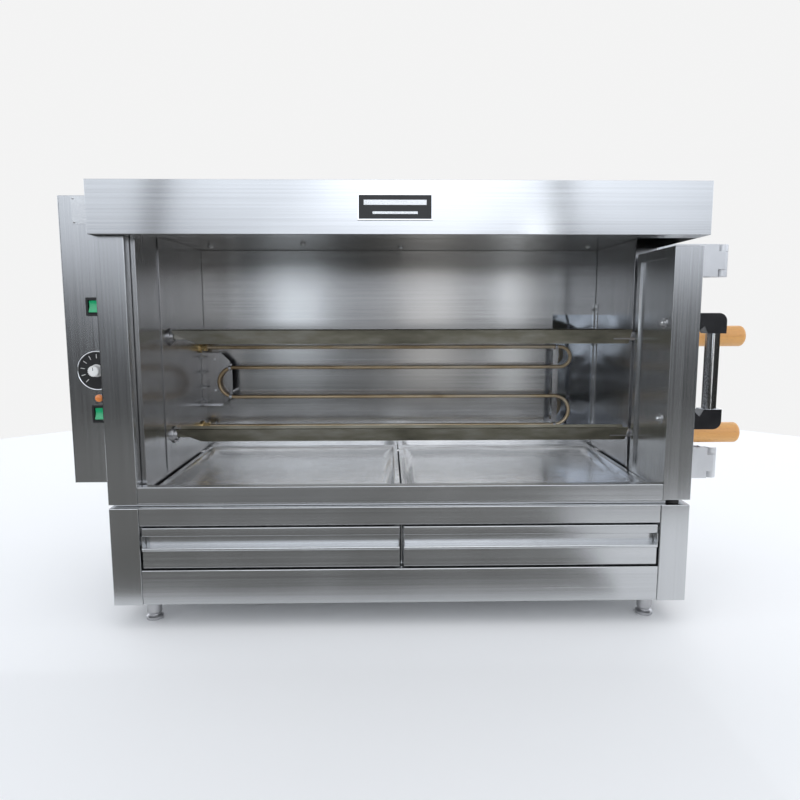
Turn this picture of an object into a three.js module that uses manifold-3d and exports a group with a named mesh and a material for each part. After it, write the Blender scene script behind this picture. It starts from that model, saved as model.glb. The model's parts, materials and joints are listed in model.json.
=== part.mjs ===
// Countertop rotisserie oven: an open-fronted stainless roasting chamber on a low plinth with two drawers,
// two motor-driven V-shaped spits, a serpentine electric heater, and a right-hand side door that opens
// the wall where the spits pass through it. Millimetres, +Z up, the front faces -Y.
import * as THREE from 'three';
import Module from 'manifold-3d';
import { mergeVertices } from 'three/addons/utils/BufferGeometryUtils.js';

const wasm = await Module();
wasm.setup();

// ---------------------------------------------------------------- driving dimensions
const bodyWidth = 1000; // outside the two side walls
const bodyDepth = 460; // front face of the posts to the rear cover
const sheet = 1.5; // thickness of every folded sheet
const clearance = 0.3; // gap between pieces that touch
const over = 1; // how far a cutting shape runs past the face it opens

const footHeight = 46;
const footRadius = 13;
const footInset = 52; // foot axis in from the sides
const footSetback = 50; // foot axis in from the front and the back

const baseHeight = 173;
const postWidth = 50; // front posts of the plinth and the left post of the chamber
const topRailHeight = 32;
const topRailFold = 26; // the top rail's upper flange
const railLip = 12; // lip behind the lower edge of a front rail
const skirtHeight = 62; // lower front panel of the plinth
const panelSetback = 1; // plinth rails behind the posts' faces
const rearGap = 2; // folded parts end this far inside the rear cover's face

const drawerGap = 3.5; // all round each drawer front
const drawerSetback = 2; // drawer faces behind the posts' faces
const drawerBandHeight = 15.5; // band above the finger channel
const drawerChannelHeight = 19.5;
const drawerLipHeight = 6.5;
const drawerLipReach = 4;
const drawerChannelDepth = 14;
const drawerBackGap = 58; // drawer pan to the rear cover's face
const drawerPanInset = 5; // drawer pan in from the ends of its front
const drawerPanDrop = 22; // rim of the drawer pan below the top of its front
const drawerPanWall = 1.2;
const runnerWidth = 12;
const runnerStart = 8; // runners begin this far behind the finger channels
const runnerStop = 40; // and end this far from the rear cover's face
const dividerSetback = 20;

const spacerHeight = 6; // shadow gap between plinth and chamber
const frameInset = 8; // frame in the shadow gap, in from the sides
const frameSetback = 12;
const frameSideRail = 52;
const frameFrontRail = 32;
const frameBackRail = 48;

const chamberHeight = 449;
const frontRailHeight = 29;
const frontRailRise = 2; // foot of the front rail above the chamber's foot
const frontRailDepth = 18;
const panLedgeDrop = 16; // ledge for the drip pans below the top of the front rail
const postReturn = 30; // outer return of the left post
const postInnerReturn = 22;
const wallInset = 58; // side wall lining in from the outside of the body
const rightWallInset = 44;
const liningFront = 25; // front face to the left lining
const liningReturn = 28;
const liningSetback = 37; // rear cover's face to the back lining
const ventLength = 50;
const ventHeight = 8;
const ventPitch = 70;
const ventRowPitch = 24;
const ventDrop = 52; // top row of vents below the hood

const hoodHeight = 85;
const hoodOverhang = 20; // hood front in front of the posts
const hoodLip = 45; // strip folded back under the hood front
const ceilingRise = 17; // ceiling above the hood's lower edge
const ceilingLap = 6; // ceiling panel past the side linings

const panDepth = 14;
const panFlange = 10;
const panPlay = 1; // pans stand this far from the rail and the back lining
const panSideGap = 5;
const panSplit = 3; // gap between the two pans
const panSlope = 24; // run of each sloping side

const doorThickness = 48;
const doorDepth = 164; // front to the split line in the right wall
const seamGap = 28; // slot that the spits lie in
const doorFloorGap = 9;
const doorTopGap = 15;
const doorRecess = 5; // inner face of the door sunk inside its folded edge
const doorBorder = 16; // width of that folded edge
const bufferRadius = 11.5; // rubber rest under the door
const bufferInset = 24;
const bufferSetback = 18;

const hingeReach = 119; // hinge axis outboard of the right wall
const hingeHeight = 61;
const hingePlate = 3;
const hingeDrop = 10.5; // middle of the upper hinge below the door's top
const hingeRise = 27.5; // middle of the lower hinge above the door's foot
const hingeLeaf = 40; // width of the leaf on the door or the wall
const knuckleHeight = 13.5;
const barrelRadius = 11;
const pinRadius = 6;

const handleLength = 202;
const handleRise = 220; // middle of the handle above the foot of the door
const handleEnd = 35; // height of each moulded end
const handleEndHalf = 14; // half its width
const handleShoulder = 14;
const handleStandoff = 42; // tube axis outboard of the door
const handleTubeRadius = 12;
const handleSetback = 40;

const lowerSpitRise = 90; // lower spit axis above the chamber's foot
const spitSpacing = 190;
const spitLeg = 32; // leg of the V section
const spitLegAngle = THREE.MathUtils.degToRad(35); // each leg from the vertical
const spitThickness = 3;
const spitShaftRadius = 8;
const spitTaper = 54; // length of the slanted cut at the drive end
const spitEndGap = 6; // end of the V section to the door's inner face
const shaftPlay = 1.5; // radial play of a shaft in the sheets that it passes
const cupLength = 10.5; // drive cup on the left lining
const tongueHalf = 4.5; // half of the square tongue in the drive cup
const bearingInset = 32; // right-hand bearings in from the outside of the body
const bearingHalf = 20;
const bearingGap = 3; // bearing to the door
const collarInset = 24;
const collarWidth = 5;
const woodRadius = 20;
const woodLength = 149;
const woodStart = 20; // handle begins this far outboard of the right wall
const woodTangUp = 20; // the shaft stops this far short of the handle's end

const tubeRadius = 4; // heater tube
const heaterSetback = 42; // heater in front of the back lining
const heaterRises = [73, 139, 205, 250]; // the four runs above the chamber's foot
const heaterMargin = 37; // outside of the bends in from the left lining
const heaterRightMargin = 63;

const boxWidth = 107; // control box outboard of the left wall
const boxSetback = 114;
const boxDepth = 286;
const boxDropFromTop = 2;
const boxBelowShaft = 79;
const switchDrop = [195.5, 391]; // the two rocker switches below the top of the box
const switchWidth = 27;
const switchHeight = 33;
const switchBezel = 2.5;
const rockerTilt = THREE.MathUtils.degToRad(9); // the rocker lies tipped to its off side
const dialDrop = 311;
const dialRadius = 35;
const dialThickness = 2;
const dialShaftRadius = 3;
const knobRadius = 10.5;
const knobLength = 17;
const lampDrop = 362;
const lampRadius = 7;
const glandRise = 45;
const glandRadius = 8;

const sprocketInset = 12; // chain plane outboard of the left wall
const sprocketWidth = 6;
const sprocketTip = 27;
const sprocketRoot = 23;
const sprocketTeeth = 16;
const chainInner = 28.6;
const chainOuter = 35;
const chainWidth = 5;
const motorBack = 122; // motor shaft behind the spits' plane
const gearboxHalf = 38; // half the gearbox's square section, and its length
const motorRadius = 30;
const motorGap = 8.5; // motor can to the control box's cover

// ---------------------------------------------------------------- levels and planes worked out from them
const left = -bodyWidth / 2;
const right = bodyWidth / 2;
const baseBottom = footHeight;
const baseTop = baseBottom + baseHeight;
const chamberFoot = baseTop + spacerHeight;
const hoodFoot = chamberFoot + chamberHeight;
const hoodTop = hoodFoot + hoodHeight;
const ceiling = hoodFoot + ceilingRise;
const rear = bodyDepth - rearGap;
const liningLeft = left + wallInset;
const liningRight = right - rightWallInset;
const liningDepth = bodyDepth - liningSetback;
const heaterDepth = liningDepth - heaterSetback;
const doorInner = right - doorThickness;
const doorFoot = baseTop + doorFloorGap;
const doorHead = hoodFoot - doorTopGap;
const wallStart = doorDepth + seamGap; // front edge of the fixed right wall
const spitDepth = doorDepth + seamGap / 2;
const drawerFoot = baseBottom + skirtHeight + drawerGap;
const drawerHead = baseTop - topRailHeight - drawerGap;
const runners = [drawerChannelDepth + runnerStart, bodyDepth - runnerStop];
const railTop = chamberFoot + frontRailRise + frontRailHeight;
const panLedge = railTop - panLedgeDrop;
const panLedgeWidth = panPlay + panFlange - sheet - 2 * clearance;
const spitHeights = { lower: chamberFoot + lowerSpitRise, upper: chamberFoot + lowerSpitRise + spitSpacing };
const hingeX = right + hingeReach;
const boxTop = hoodTop - boxDropFromTop;
const boxFoot = spitHeights.lower - boxBelowShaft;
const boxOuter = left - boxWidth;
const controlX = left - boxWidth / 2;
const sprocketX = left - sprocketInset;
const motorHeight = (spitHeights.lower + spitHeights.upper) / 2;
const motorY = spitDepth + motorBack;

// ---------------------------------------------------------------- materials
function finish(color, roughness, metalness) {
  return new THREE.MeshStandardMaterial({ color, roughness, metalness });
}

const steel = () => finish(0xb9bcc0, 0.35, 1);
const mirrorSteel = () => finish(0xc9ccd0, 0.15, 1);
const castSteel = () => finish(0x8d9094, 0.5, 1);
const heaterMetal = () => finish(0x8a7a5c, 0.45, 1);
const brass = () => finish(0xb9924e, 0.35, 1);
const chrome = () => finish(0xd6d8db, 0.08, 1);
const wood = () => finish(0xc98a45, 0.6, 0);
const blackPlastic = () => finish(0x151515, 0.4, 0);
const whitePlastic = () => finish(0xeeeeea, 0.4, 0);
const greenPlastic = () => finish(0x1d9a4a, 0.3, 0);
const amberPlastic = () => finish(0xd9802a, 0.25, 0);
const rubber = () => finish(0x1c1c1e, 0.8, 0);

// ---------------------------------------------------------------- shape helpers
const group = new THREE.Group();

function toSolid(geometry) {
  const bare = geometry.index ? geometry.toNonIndexed() : geometry.clone();
  bare.deleteAttribute('normal');
  bare.deleteAttribute('uv');
  const merged = mergeVertices(bare, 1e-4);
  return new wasm.Manifold(new wasm.Mesh({
    numProp: 3,
    vertProperties: Float32Array.from(merged.attributes.position.array),
    triVerts: Uint32Array.from(merged.index.array),
  }));
}

function add(name, solid, material) {
  const mesh = solid.getMesh();
  const geometry = new THREE.BufferGeometry();
  geometry.setAttribute('position', new THREE.BufferAttribute(Float32Array.from(mesh.vertProperties), 3));
  geometry.setIndex(Array.from(mesh.triVerts));
  geometry.computeVertexNormals();
  const piece = new THREE.Mesh(geometry, material);
  piece.name = name;
  group.add(piece);
}

const join = (...solids) => solids.reduce((whole, piece) => whole.add(piece));
const cut = (solid, ...tools) => tools.reduce((rest, tool) => rest.subtract(tool), solid);

function block([x0, x1], [y0, y1], [z0, z1]) {
  const geometry = new THREE.BoxGeometry(x1 - x0, y1 - y0, z1 - z0);
  geometry.translate((x0 + x1) / 2, (y0 + y1) / 2, (z0 + z1) / 2);
  return toSolid(geometry);
}

// Maps the drawing plane and its extrusion direction onto the object's axes.
const planes = {
  x: new THREE.Matrix4().set(0, 0, 1, 0, 1, 0, 0, 0, 0, 1, 0, 0, 0, 0, 0, 1), // drawn in (y, z)
  y: new THREE.Matrix4().set(0, 1, 0, 0, 0, 0, 1, 0, 1, 0, 0, 0, 0, 0, 0, 1), // drawn in (z, x)
  z: new THREE.Matrix4(), // drawn in (x, y)
};

function extrude(axis, shape, [from, to]) {
  const settings = { depth: to - from, bevelEnabled: false, curveSegments: 8 };
  const geometry = new THREE.ExtrudeGeometry(shape, settings);
  geometry.translate(0, 0, from);
  geometry.applyMatrix4(planes[axis]);
  return toSolid(geometry);
}

const outline = (points) => new THREE.Shape(points.map(([a, b]) => new THREE.Vector2(a, b)));

// A folded sheet: the path is its outer face, and the material lies to the left of the path's direction.
function folded(points, thickness = sheet) {
  const path = points.map(([a, b]) => new THREE.Vector2(a, b));
  const normal = (a, b) => new THREE.Vector2(a.y - b.y, b.x - a.x).normalize();
  const inner = path.map((point, i) => {
    const before = i > 0 ? normal(path[i - 1], point) : normal(point, path[i + 1]);
    const after = i < path.length - 1 ? normal(point, path[i + 1]) : before;
    const mitre = before.clone().add(after).normalize();
    return point.clone().addScaledVector(mitre, thickness / mitre.dot(before));
  });
  return new THREE.Shape([...path, ...inner.reverse()]);
}

function rod(axis, [a, b], radius, [from, to], segments = 24) {
  const circle = new THREE.Shape();
  circle.absarc(a, b, radius, 0, 2 * Math.PI);
  const geometry = new THREE.ExtrudeGeometry(circle, {
    depth: to - from, bevelEnabled: false, curveSegments: segments / 2,
  });
  geometry.translate(0, 0, from);
  geometry.applyMatrix4(planes[axis]);
  return toSolid(geometry);
}

// A turned piece: profile points are [radius, distance along the axis]; it starts and ends on the axis.
function turned(axis, [a, b], profile, segments = 24) {
  const geometry = new THREE.LatheGeometry(profile.map(([r, t]) => new THREE.Vector2(r, t)), segments);
  geometry.rotateX(Math.PI / 2);
  geometry.translate(a, b, 0);
  geometry.applyMatrix4(planes[axis]);
  return toSolid(geometry);
}

function roundedBlock(axis, [a0, a1], [b0, b1], span, radius) {
  const shape = new THREE.Shape();
  shape.moveTo(a0 + radius, b0);
  shape.lineTo(a1 - radius, b0);
  shape.absarc(a1 - radius, b0 + radius, radius, -Math.PI / 2, 0);
  shape.absarc(a1 - radius, b1 - radius, radius, 0, Math.PI / 2);
  shape.absarc(a0 + radius, b1 - radius, radius, Math.PI / 2, Math.PI);
  shape.absarc(a0 + radius, b0 + radius, radius, Math.PI, 1.5 * Math.PI);
  return extrude(axis, shape, span);
}

// ---------------------------------------------------------------- plinth
// Two side tubes with drawer runners, a top rail, a floor tray folded up in front, a divider and four feet.
function plinth() {
  const ledge = [drawerFoot - sheet, drawerFoot];
  const tubeInner = right - postWidth;
  for (const [side, name] of [[-1, 'base_side_left'], [1, 'base_side_right']]) {
    const spanX = (inner, outer) => [side * outer, side * inner].sort((p, q) => p - q);
    const tube = cut(
      block(spanX(tubeInner, right), [0, bodyDepth], [baseBottom, baseTop]),
      block(
        spanX(tubeInner + sheet, right - sheet), [sheet, bodyDepth - sheet],
        [baseBottom - over, baseTop - sheet],
      ),
    );
    const runner = block(spanX(tubeInner - runnerWidth, tubeInner + sheet / 2), runners, ledge);
    add(name, join(tube, runner), steel());
  }
  const railSpan = [-tubeInner + clearance, tubeInner - clearance];
  const railFoot = baseTop - topRailHeight;
  add('base_top_rail', extrude('x', folded([
    [topRailFold, baseTop], [panelSetback, baseTop], [panelSetback, railFoot], [railLip, railFoot],
  ]), railSpan), steel());
  const skirtHead = baseBottom + skirtHeight;
  add('base_tray', extrude('x', folded([
    [panelSetback + railLip, skirtHead], [panelSetback, skirtHead], [panelSetback, baseBottom],
    [rear, baseBottom], [rear, baseTop - 2 * sheet],
  ]), railSpan), steel());
  const floor = baseBottom + sheet + clearance;
  const dividerSpan = [dividerSetback, rear - 2 * sheet];
  add('drawer_divider', join(
    block([-sheet, sheet], dividerSpan, [floor, railFoot - clearance]),
    block([-runnerWidth, runnerWidth], runners, ledge),
    block([-runnerWidth, runnerWidth], dividerSpan, [floor, floor + sheet]),
  ), steel());
  const pad = footRadius + 2;
  const neck = footRadius - 3;
  const stemTop = baseBottom - clearance;
  for (const [row, y] of [['front', footSetback], ['rear', bodyDepth - footSetback]]) {
    for (const [word, x] of [['left', left + footInset], ['right', right - footInset]]) {
      add(`foot_${row}_${word}`, turned('z', [x, y], [
        [0, 0], [pad - 0.5, 0], [pad, 1], [pad, 6], [neck, 8], [neck, 11], [footRadius, 13],
        [footRadius, stemTop], [0, stemTop],
      ], 20), castSteel());
    }
  }
}

// ---------------------------------------------------------------- drawers
// A folded front with a finger channel, and an open pan behind it that slides on the runners.
function drawers() {
  const channelTop = drawerHead - drawerBandHeight;
  const channelFoot = channelTop - drawerChannelHeight;
  const lipFoot = channelFoot - drawerLipHeight;
  const face = drawerSetback;
  const lip = face - drawerLipReach;
  const deep = face + drawerChannelDepth;
  const frontShape = folded([
    [deep, drawerHead], [face, drawerHead], [face, channelTop], [deep, channelTop], [deep, channelFoot],
    [lip, channelFoot], [lip, lipFoot + 2], [face, lipFoot], [face, drawerFoot], [deep, drawerFoot],
  ]);
  const front = deep + sheet + clearance;
  const back = bodyDepth - drawerBackGap;
  const bottom = drawerFoot + clearance;
  const rim = drawerHead - drawerPanDrop;
  const farEnd = right - postWidth - drawerGap;
  for (const [side, word] of [[-1, 'left'], [1, 'right']]) {
    const span = (inset) => [side * (drawerGap + inset), side * (farEnd - inset)].sort((p, q) => p - q);
    add(`drawer_front_${word}`, extrude('x', frontShape, span(0)), steel());
    add(`drawer_pan_${word}`, cut(
      block(span(drawerPanInset), [front, back], [bottom, rim]),
      block(
        span(drawerPanInset + drawerPanWall), [front + drawerPanWall, back - drawerPanWall],
        [bottom + drawerPanWall, rim + over],
      ),
    ), steel());
  }
}

// ---------------------------------------------------------------- chamber shell
// Frame in the shadow gap, front rail with a ledge for the drip pans, left wall, back and fixed right wall.
function chamber() {
  const frameSpan = [baseTop + clearance, chamberFoot - clearance];
  const frameCut = [baseTop, chamberFoot];
  add('chamber_frame', cut(
    block([left + frameInset, right - frameInset], [frameSetback, bodyDepth - frameSetback], frameSpan),
    block(
      [left + frameInset + frameSideRail, right - frameInset - frameSideRail],
      [frameSetback + frameFrontRail, bodyDepth - frameSetback - frameBackRail], frameCut,
    ),
    block(
      [right - bufferInset - bufferRadius - 2, right], [0, bufferSetback + bufferRadius + 2], frameCut,
    ),
  ), steel());
  const railFoot = railTop - frontRailHeight;
  add('chamber_front_rail', cut(
    extrude('x', folded([
      [frontRailDepth + panLedgeWidth, panLedge], [frontRailDepth, panLedge], [frontRailDepth, railTop],
      [0, railTop], [0, railFoot], [railLip, railFoot],
    ]), [left + postWidth + clearance, doorInner - clearance]),
    block(
      [left, liningLeft + clearance], [liningFront - clearance, liningFront + postWidth], [railFoot, railTop],
    ),
  ), steel());
  const wallSpan = [chamberFoot, hoodFoot - clearance];
  const liningSpan = [chamberFoot, ceiling - clearance];
  add('left_post', extrude('z', folded([
    [left, postReturn], [left, 0], [left + postWidth, 0], [left + postWidth, postInnerReturn],
  ]), wallSpan), steel());

  const wall = [left - over, liningLeft + 2 * sheet + over];
  const shaftHoles = Object.values(spitHeights).map(
    (z) => rod('x', [spitDepth, z], spitShaftRadius + shaftPlay, wall),
  );
  add('left_outer_panel', cut(
    block([left, left + sheet], [postReturn + clearance, rear], wallSpan), ...shaftHoles,
  ), steel());
  const lining = [liningLeft - sheet - over, liningLeft + over];
  const heaterHoles = [heaterRises[0], heaterRises.at(-1)].map(
    (rise) => rod('x', [heaterDepth, chamberFoot + rise], tubeRadius + shaftPlay, lining),
  );
  add('left_inner_panel', cut(extrude('z', folded([
    [liningLeft - liningReturn, liningFront], [liningLeft, liningFront], [liningLeft, liningDepth - rearGap],
  ]), liningSpan), ...shaftHoles, ...heaterHoles), steel());
  add('back_reflector', extrude('x', folded([
    [liningDepth, ceiling - clearance], [liningDepth, panLedge], [liningDepth - panLedgeWidth, panLedge],
  ]), [liningLeft + clearance, liningRight - clearance]), mirrorSteel());

  const vents = [];
  for (const row of [0, 1]) {
    const top = hoodFoot - ventDrop - row * ventRowPitch;
    for (let i = -5; i <= 5; i += 1) {
      vents.push(block(
        [i * ventPitch - ventLength / 2, i * ventPitch + ventLength / 2],
        [bodyDepth - sheet - over, bodyDepth + over], [top - ventHeight, top],
      ));
    }
  }
  add('rear_cover', cut(
    block([left + rearGap, right - rearGap], [bodyDepth - sheet, bodyDepth], wallSpan), ...vents,
  ), steel());
  add('right_rear_wall', cut(
    extrude('z', folded([
      [liningRight, rear - rearGap], [liningRight, wallStart], [right, wallStart], [right, rear],
    ]), liningSpan),
    block(
      [liningRight + 2 * sheet, right + over], [wallStart - over, bodyDepth], [wallSpan[1], ceiling + over],
    ),
  ), steel());
  const front = doorDepth + bearingGap;
  const slot = spitShaftRadius + 1;
  for (const [word, z] of Object.entries(spitHeights)) {
    const x = right - bearingInset;
    const cradle = outline([
      [front, z - bearingHalf], [wallStart - clearance, z - bearingHalf],
      [wallStart - clearance, z + bearingHalf], [front, z + bearingHalf], [front, z + slot],
      [spitDepth, z + slot], [spitDepth + slot, z + slot - 3], [spitDepth + slot, z - slot + 3],
      [spitDepth, z - slot], [front, z - slot],
    ]);
    add(`spit_bearing_${word}`, extrude('x', cradle, [x, x + hingePlate]), castSteel());
  }
}

// ---------------------------------------------------------------- hood and ceiling
// The hood is a box open below with a strip folded back under its front; a ceiling panel closes the chamber.
function hood() {
  const shell = cut(
    block([left, right], [-hoodOverhang, bodyDepth], [hoodFoot, hoodTop]),
    block(
      [left + sheet, right - sheet], [-hoodOverhang + sheet, bodyDepth - sheet],
      [hoodFoot - over, hoodTop - sheet],
    ),
  );
  const lipBack = hoodLip - hoodOverhang;
  const lip = extrude('x', folded([
    [-hoodOverhang + sheet / 2, hoodFoot], [lipBack, hoodFoot], [lipBack, ceiling - clearance],
  ]), [left + sheet / 2, right - sheet / 2]);
  add('hood', join(shell, lip), steel());
  add('ceiling_panel', block(
    [liningLeft - ceilingLap, liningRight + ceilingLap], [lipBack + clearance, liningDepth + ceilingLap / 2],
    [ceiling, ceiling + sheet],
  ), steel());
}

// ---------------------------------------------------------------- drip pans
// The four corners of a rectangle at height z, drawn in from the sides by an inset.
function corners([x0, x1], [y0, y1], z, inset) {
  return [
    [x0 + inset, y0 + inset, z], [x1 - inset, y0 + inset, z],
    [x1 - inset, y1 - inset, z], [x0 + inset, y1 - inset, z],
  ];
}

// A tub with sloping sides between two such rectangles, used for a pan's outside and again for its hollow.
function tub(bottomCorners, topCorners) {
  const faces = [0, 2, 1, 0, 3, 2, 4, 5, 6, 4, 6, 7];
  for (let i = 0; i < 4; i += 1) {
    const j = (i + 1) % 4;
    faces.push(i, j, j + 4, i, j + 4, i + 4);
  }
  const geometry = new THREE.BufferGeometry();
  const points = [...bottomCorners, ...topCorners].flat();
  geometry.setAttribute('position', new THREE.Float32BufferAttribute(points, 3));
  geometry.setIndex(faces);
  return toSolid(geometry);
}

// Two shallow pans side by side, their flanges on the ledges of the front rail and the back lining.
function dripPans() {
  const depth = [frontRailDepth + panPlay, liningDepth - panPlay];
  const top = panLedge + clearance + sheet;
  const foot = top - panDepth;
  const pans = [
    ['left', [liningLeft + panSideGap, -panSplit / 2]], ['right', [panSplit / 2, liningRight - panSideGap]],
  ];
  for (const [word, width] of pans) {
    const outerInset = panFlange - sheet;
    const outside = join(
      block(width, depth, [top - sheet, top]),
      tub(
        corners(width, depth, foot, outerInset + panSlope), corners(width, depth, top - sheet / 2, outerInset),
      ),
    );
    const hollow = tub(
      corners(width, depth, foot + sheet, panFlange + panSlope), corners(width, depth, top + 0.01, panFlange),
    );
    add(`drip_pan_${word}`, cut(outside, hollow), mirrorSteel());
  }
}

// ---------------------------------------------------------------- heater
// A curve through given points, so that a section swept along it keeps the bends' own steps.
class BentTube extends THREE.Curve {
  constructor(points) {
    super();
    this.points = points;
  }

  getPoint(t, target = new THREE.Vector3()) {
    const place = t * (this.points.length - 1);
    const i = Math.min(Math.floor(place), this.points.length - 2);
    return target.lerpVectors(this.points[i], this.points[i + 1], place - i);
  }

  getPointAt(t, target) {
    return this.getPoint(t, target);
  }

  getTangentAt(t) {
    const i = Math.round(t * (this.points.length - 1));
    const before = this.points[Math.max(i - 1, 0)];
    const after = this.points[Math.min(i + 1, this.points.length - 1)];
    return after.clone().sub(before).normalize();
  }

  getSpacedPoints() {
    return this.points;
  }
}

// One tube bent into four runs behind the spits, its two ends screwed through the left lining.
function heater() {
  const heights = heaterRises.map((rise) => chamberFoot + rise);
  const lowest = heights[0];
  const highest = heights.at(-1);
  const start = liningLeft - 2 * tubeRadius;
  const leftEdge = liningLeft + heaterMargin + tubeRadius;
  const rightEdge = liningRight - heaterRightMargin - tubeRadius;
  const bendSteps = 10;
  const points = [];
  const bend = (edge, z0, z1, side) => {
    const radius = (z1 - z0) / 2;
    for (let i = 0; i <= bendSteps; i += 1) {
      const angle = (Math.PI * i) / bendSteps;
      const x = edge - side * radius * (1 - Math.sin(angle));
      points.push(new THREE.Vector3(x, heaterDepth, z0 + radius * (1 - Math.cos(angle))));
    }
  };
  points.push(new THREE.Vector3(start, heaterDepth, lowest));
  bend(rightEdge, heights[0], heights[1], 1);
  bend(leftEdge, heights[1], heights[2], -1);
  bend(rightEdge, heights[2], heights[3], 1);
  points.push(new THREE.Vector3(start, heaterDepth, highest));
  const section = new THREE.Shape();
  section.absarc(0, 0, tubeRadius, 0, 2 * Math.PI);
  add('heater_element', toSolid(new THREE.ExtrudeGeometry(section, {
    steps: points.length - 1, curveSegments: 10, extrudePath: new BentTube(points),
  })), heaterMetal());

  const flange = 3 * tubeRadius;
  const nut = flange - 3;
  const nutEnd = liningLeft + 18;
  for (const [word, z] of [['lower', lowest], ['upper', highest]]) {
    const ring = (radius, span, sides) => rod('x', [heaterDepth, z], radius, span, sides);
    add(`heater_gland_${word}`, cut(
      join(ring(flange, [liningLeft + clearance, liningLeft + 4], 24), ring(nut, [liningLeft + 3, nutEnd], 6)),
      ring(tubeRadius + clearance, [liningLeft - over, nutEnd + over], 20),
    ), brass());
  }
}

// ---------------------------------------------------------------- spits and their drive
function sprocket(y, z) {
  const shape = new THREE.Shape();
  const pitch = (2 * Math.PI) / sprocketTeeth;
  const tooth = [[-0.42, sprocketRoot], [-0.16, sprocketTip], [0.16, sprocketTip], [0.42, sprocketRoot]];
  for (let i = 0; i < sprocketTeeth; i += 1) {
    tooth.forEach(([part, radius], corner) => {
      const angle = (i + part) * pitch;
      const point = [y + radius * Math.cos(angle), z + radius * Math.sin(angle)];
      if (i === 0 && corner === 0) shape.moveTo(...point);
      else shape.lineTo(...point);
    });
  }
  return extrude('x', shape, [sprocketX - sprocketWidth / 2, sprocketX + sprocketWidth / 2]);
}

// Each spit is a V section with a square tongue at the drive end; a round shaft is welded into its other end
// and carries a turned wooden handle. The tongue sits in the cup of a drive shaft that crosses the left wall.
function spits() {
  const cup = liningLeft + cupLength;
  const tip = cup + 2 * clearance;
  const vEnd = doorInner - spitEndGap;
  const rise = spitLeg * Math.cos(spitLegAngle);
  const reach = spitLeg * Math.sin(spitLegAngle);
  const woodFrom = right + woodStart;
  const woodTo = woodFrom + woodLength;
  const lining = liningLeft + clearance;
  const socket = liningLeft + 4.3; // floor of the cup's socket
  const shaftStart = vEnd - spitLeg; // the shaft lies in the V's end over this length
  for (const [word, z] of Object.entries(spitHeights)) {
    const along = (radius, from, to) => rod('x', [spitDepth, z], radius, [from, to]);
    const keel = z - rise / 2 - 1;
    const bar = extrude('x', folded([
      [spitDepth - reach, keel + rise], [spitDepth, keel], [spitDepth + reach, keel + rise],
    ], spitThickness), [tip, vEnd]);
    const slant = extrude('y', outline([
      [keel - 5, tip - 5], [keel - 5, tip + spitTaper], [keel + rise * 0.86, tip - 5],
    ]), [spitDepth - spitLeg, spitDepth + spitLeg]);
    const tongue = block(
      [socket + clearance, tip + spitTaper], [spitDepth - tongueHalf, spitDepth + tongueHalf],
      [z - tongueHalf, z + tongueHalf],
    );
    const cradle = along(spitShaftRadius + clearance, shaftStart - clearance, vEnd + over);
    add(`spit_${word}`, join(cut(bar, slant, cradle), tongue), steel());
    add(`spit_shaft_${word}`, join(
      along(spitShaftRadius, shaftStart, woodTo - woodTangUp),
      along(spitShaftRadius + 4, right - collarInset, right - collarInset + collarWidth),
    ), castSteel());

    const grip = turned('x', [spitDepth, z], [
      [0, woodFrom], [woodRadius - 5, woodFrom], [woodRadius - 1.2, woodFrom + 2], [woodRadius, woodFrom + 6],
      [woodRadius, woodTo - 10], [woodRadius - 1.5, woodTo - 5], [woodRadius - 5, woodTo - 1.5],
      [woodRadius - 9, woodTo], [0, woodTo],
    ], 28);
    add(`spit_handle_${word}`, cut(
      grip, along(spitShaftRadius + clearance, woodFrom - over, woodTo - woodTangUp + over),
    ), wood());

    add(`drive_shaft_${word}`, cut(
      join(
        sprocket(spitDepth, z), along(spitShaftRadius, sprocketX - sprocketWidth, lining + over),
        along(2 * spitShaftRadius, lining, socket + 0.5), along(spitShaftRadius + 3, socket, cup),
      ),
      along(spitShaftRadius - 0.8, socket, cup + over),
    ), castSteel());
  }
}

// The gearmotor stands in the control box and turns both drive shafts by one chain.
function drive() {
  const flange = 4;
  const gearboxFace = sprocketX - 1.5 * sprocketWidth;
  const gearboxBack = gearboxFace - gearboxHalf;
  const square = (centre) => [centre - gearboxHalf, centre + gearboxHalf];
  add('gearmotor', join(
    block([gearboxBack, gearboxFace], square(motorY), square(motorHeight)),
    rod('x', [motorY, motorHeight], motorRadius, [boxOuter + sheet + motorGap, gearboxBack + over]),
    block(
      [gearboxBack, left - clearance], [motorY + gearboxHalf - over, motorY + gearboxHalf - over + flange],
      [motorHeight - motorRadius, motorHeight + motorRadius],
    ),
  ), castSteel());
  add('motor_sprocket', join(
    sprocket(motorY, motorHeight),
    rod('x', [motorY, motorHeight], 5, [gearboxFace + clearance, sprocketX + sprocketWidth / 2 + 2]),
  ), castSteel());

  const centres = [
    [spitDepth, spitHeights.lower], [motorY, motorHeight], [spitDepth, spitHeights.upper],
  ];
  // a belt line round the three sprockets at a given radius
  const loop = (radius) => {
    const shape = new THREE.Path();
    centres.forEach(([y, z], i) => {
      const [py, pz] = centres[(i + 2) % 3];
      const [ny, nz] = centres[(i + 1) % 3];
      const from = Math.atan2(z - pz, y - py) - Math.PI / 2;
      let to = Math.atan2(nz - z, ny - y) - Math.PI / 2;
      if (to < from) to += 2 * Math.PI;
      shape.absarc(y, z, radius, from, to, false);
    });
    return shape;
  };
  const band = new THREE.Shape(loop(chainOuter).getPoints(10));
  band.holes.push(new THREE.Path(loop(chainInner).getPoints(10)));
  const width = [sprocketX - chainWidth / 2, sprocketX + chainWidth / 2];
  add('drive_chain', extrude('x', band, width), castSteel());
}

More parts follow.
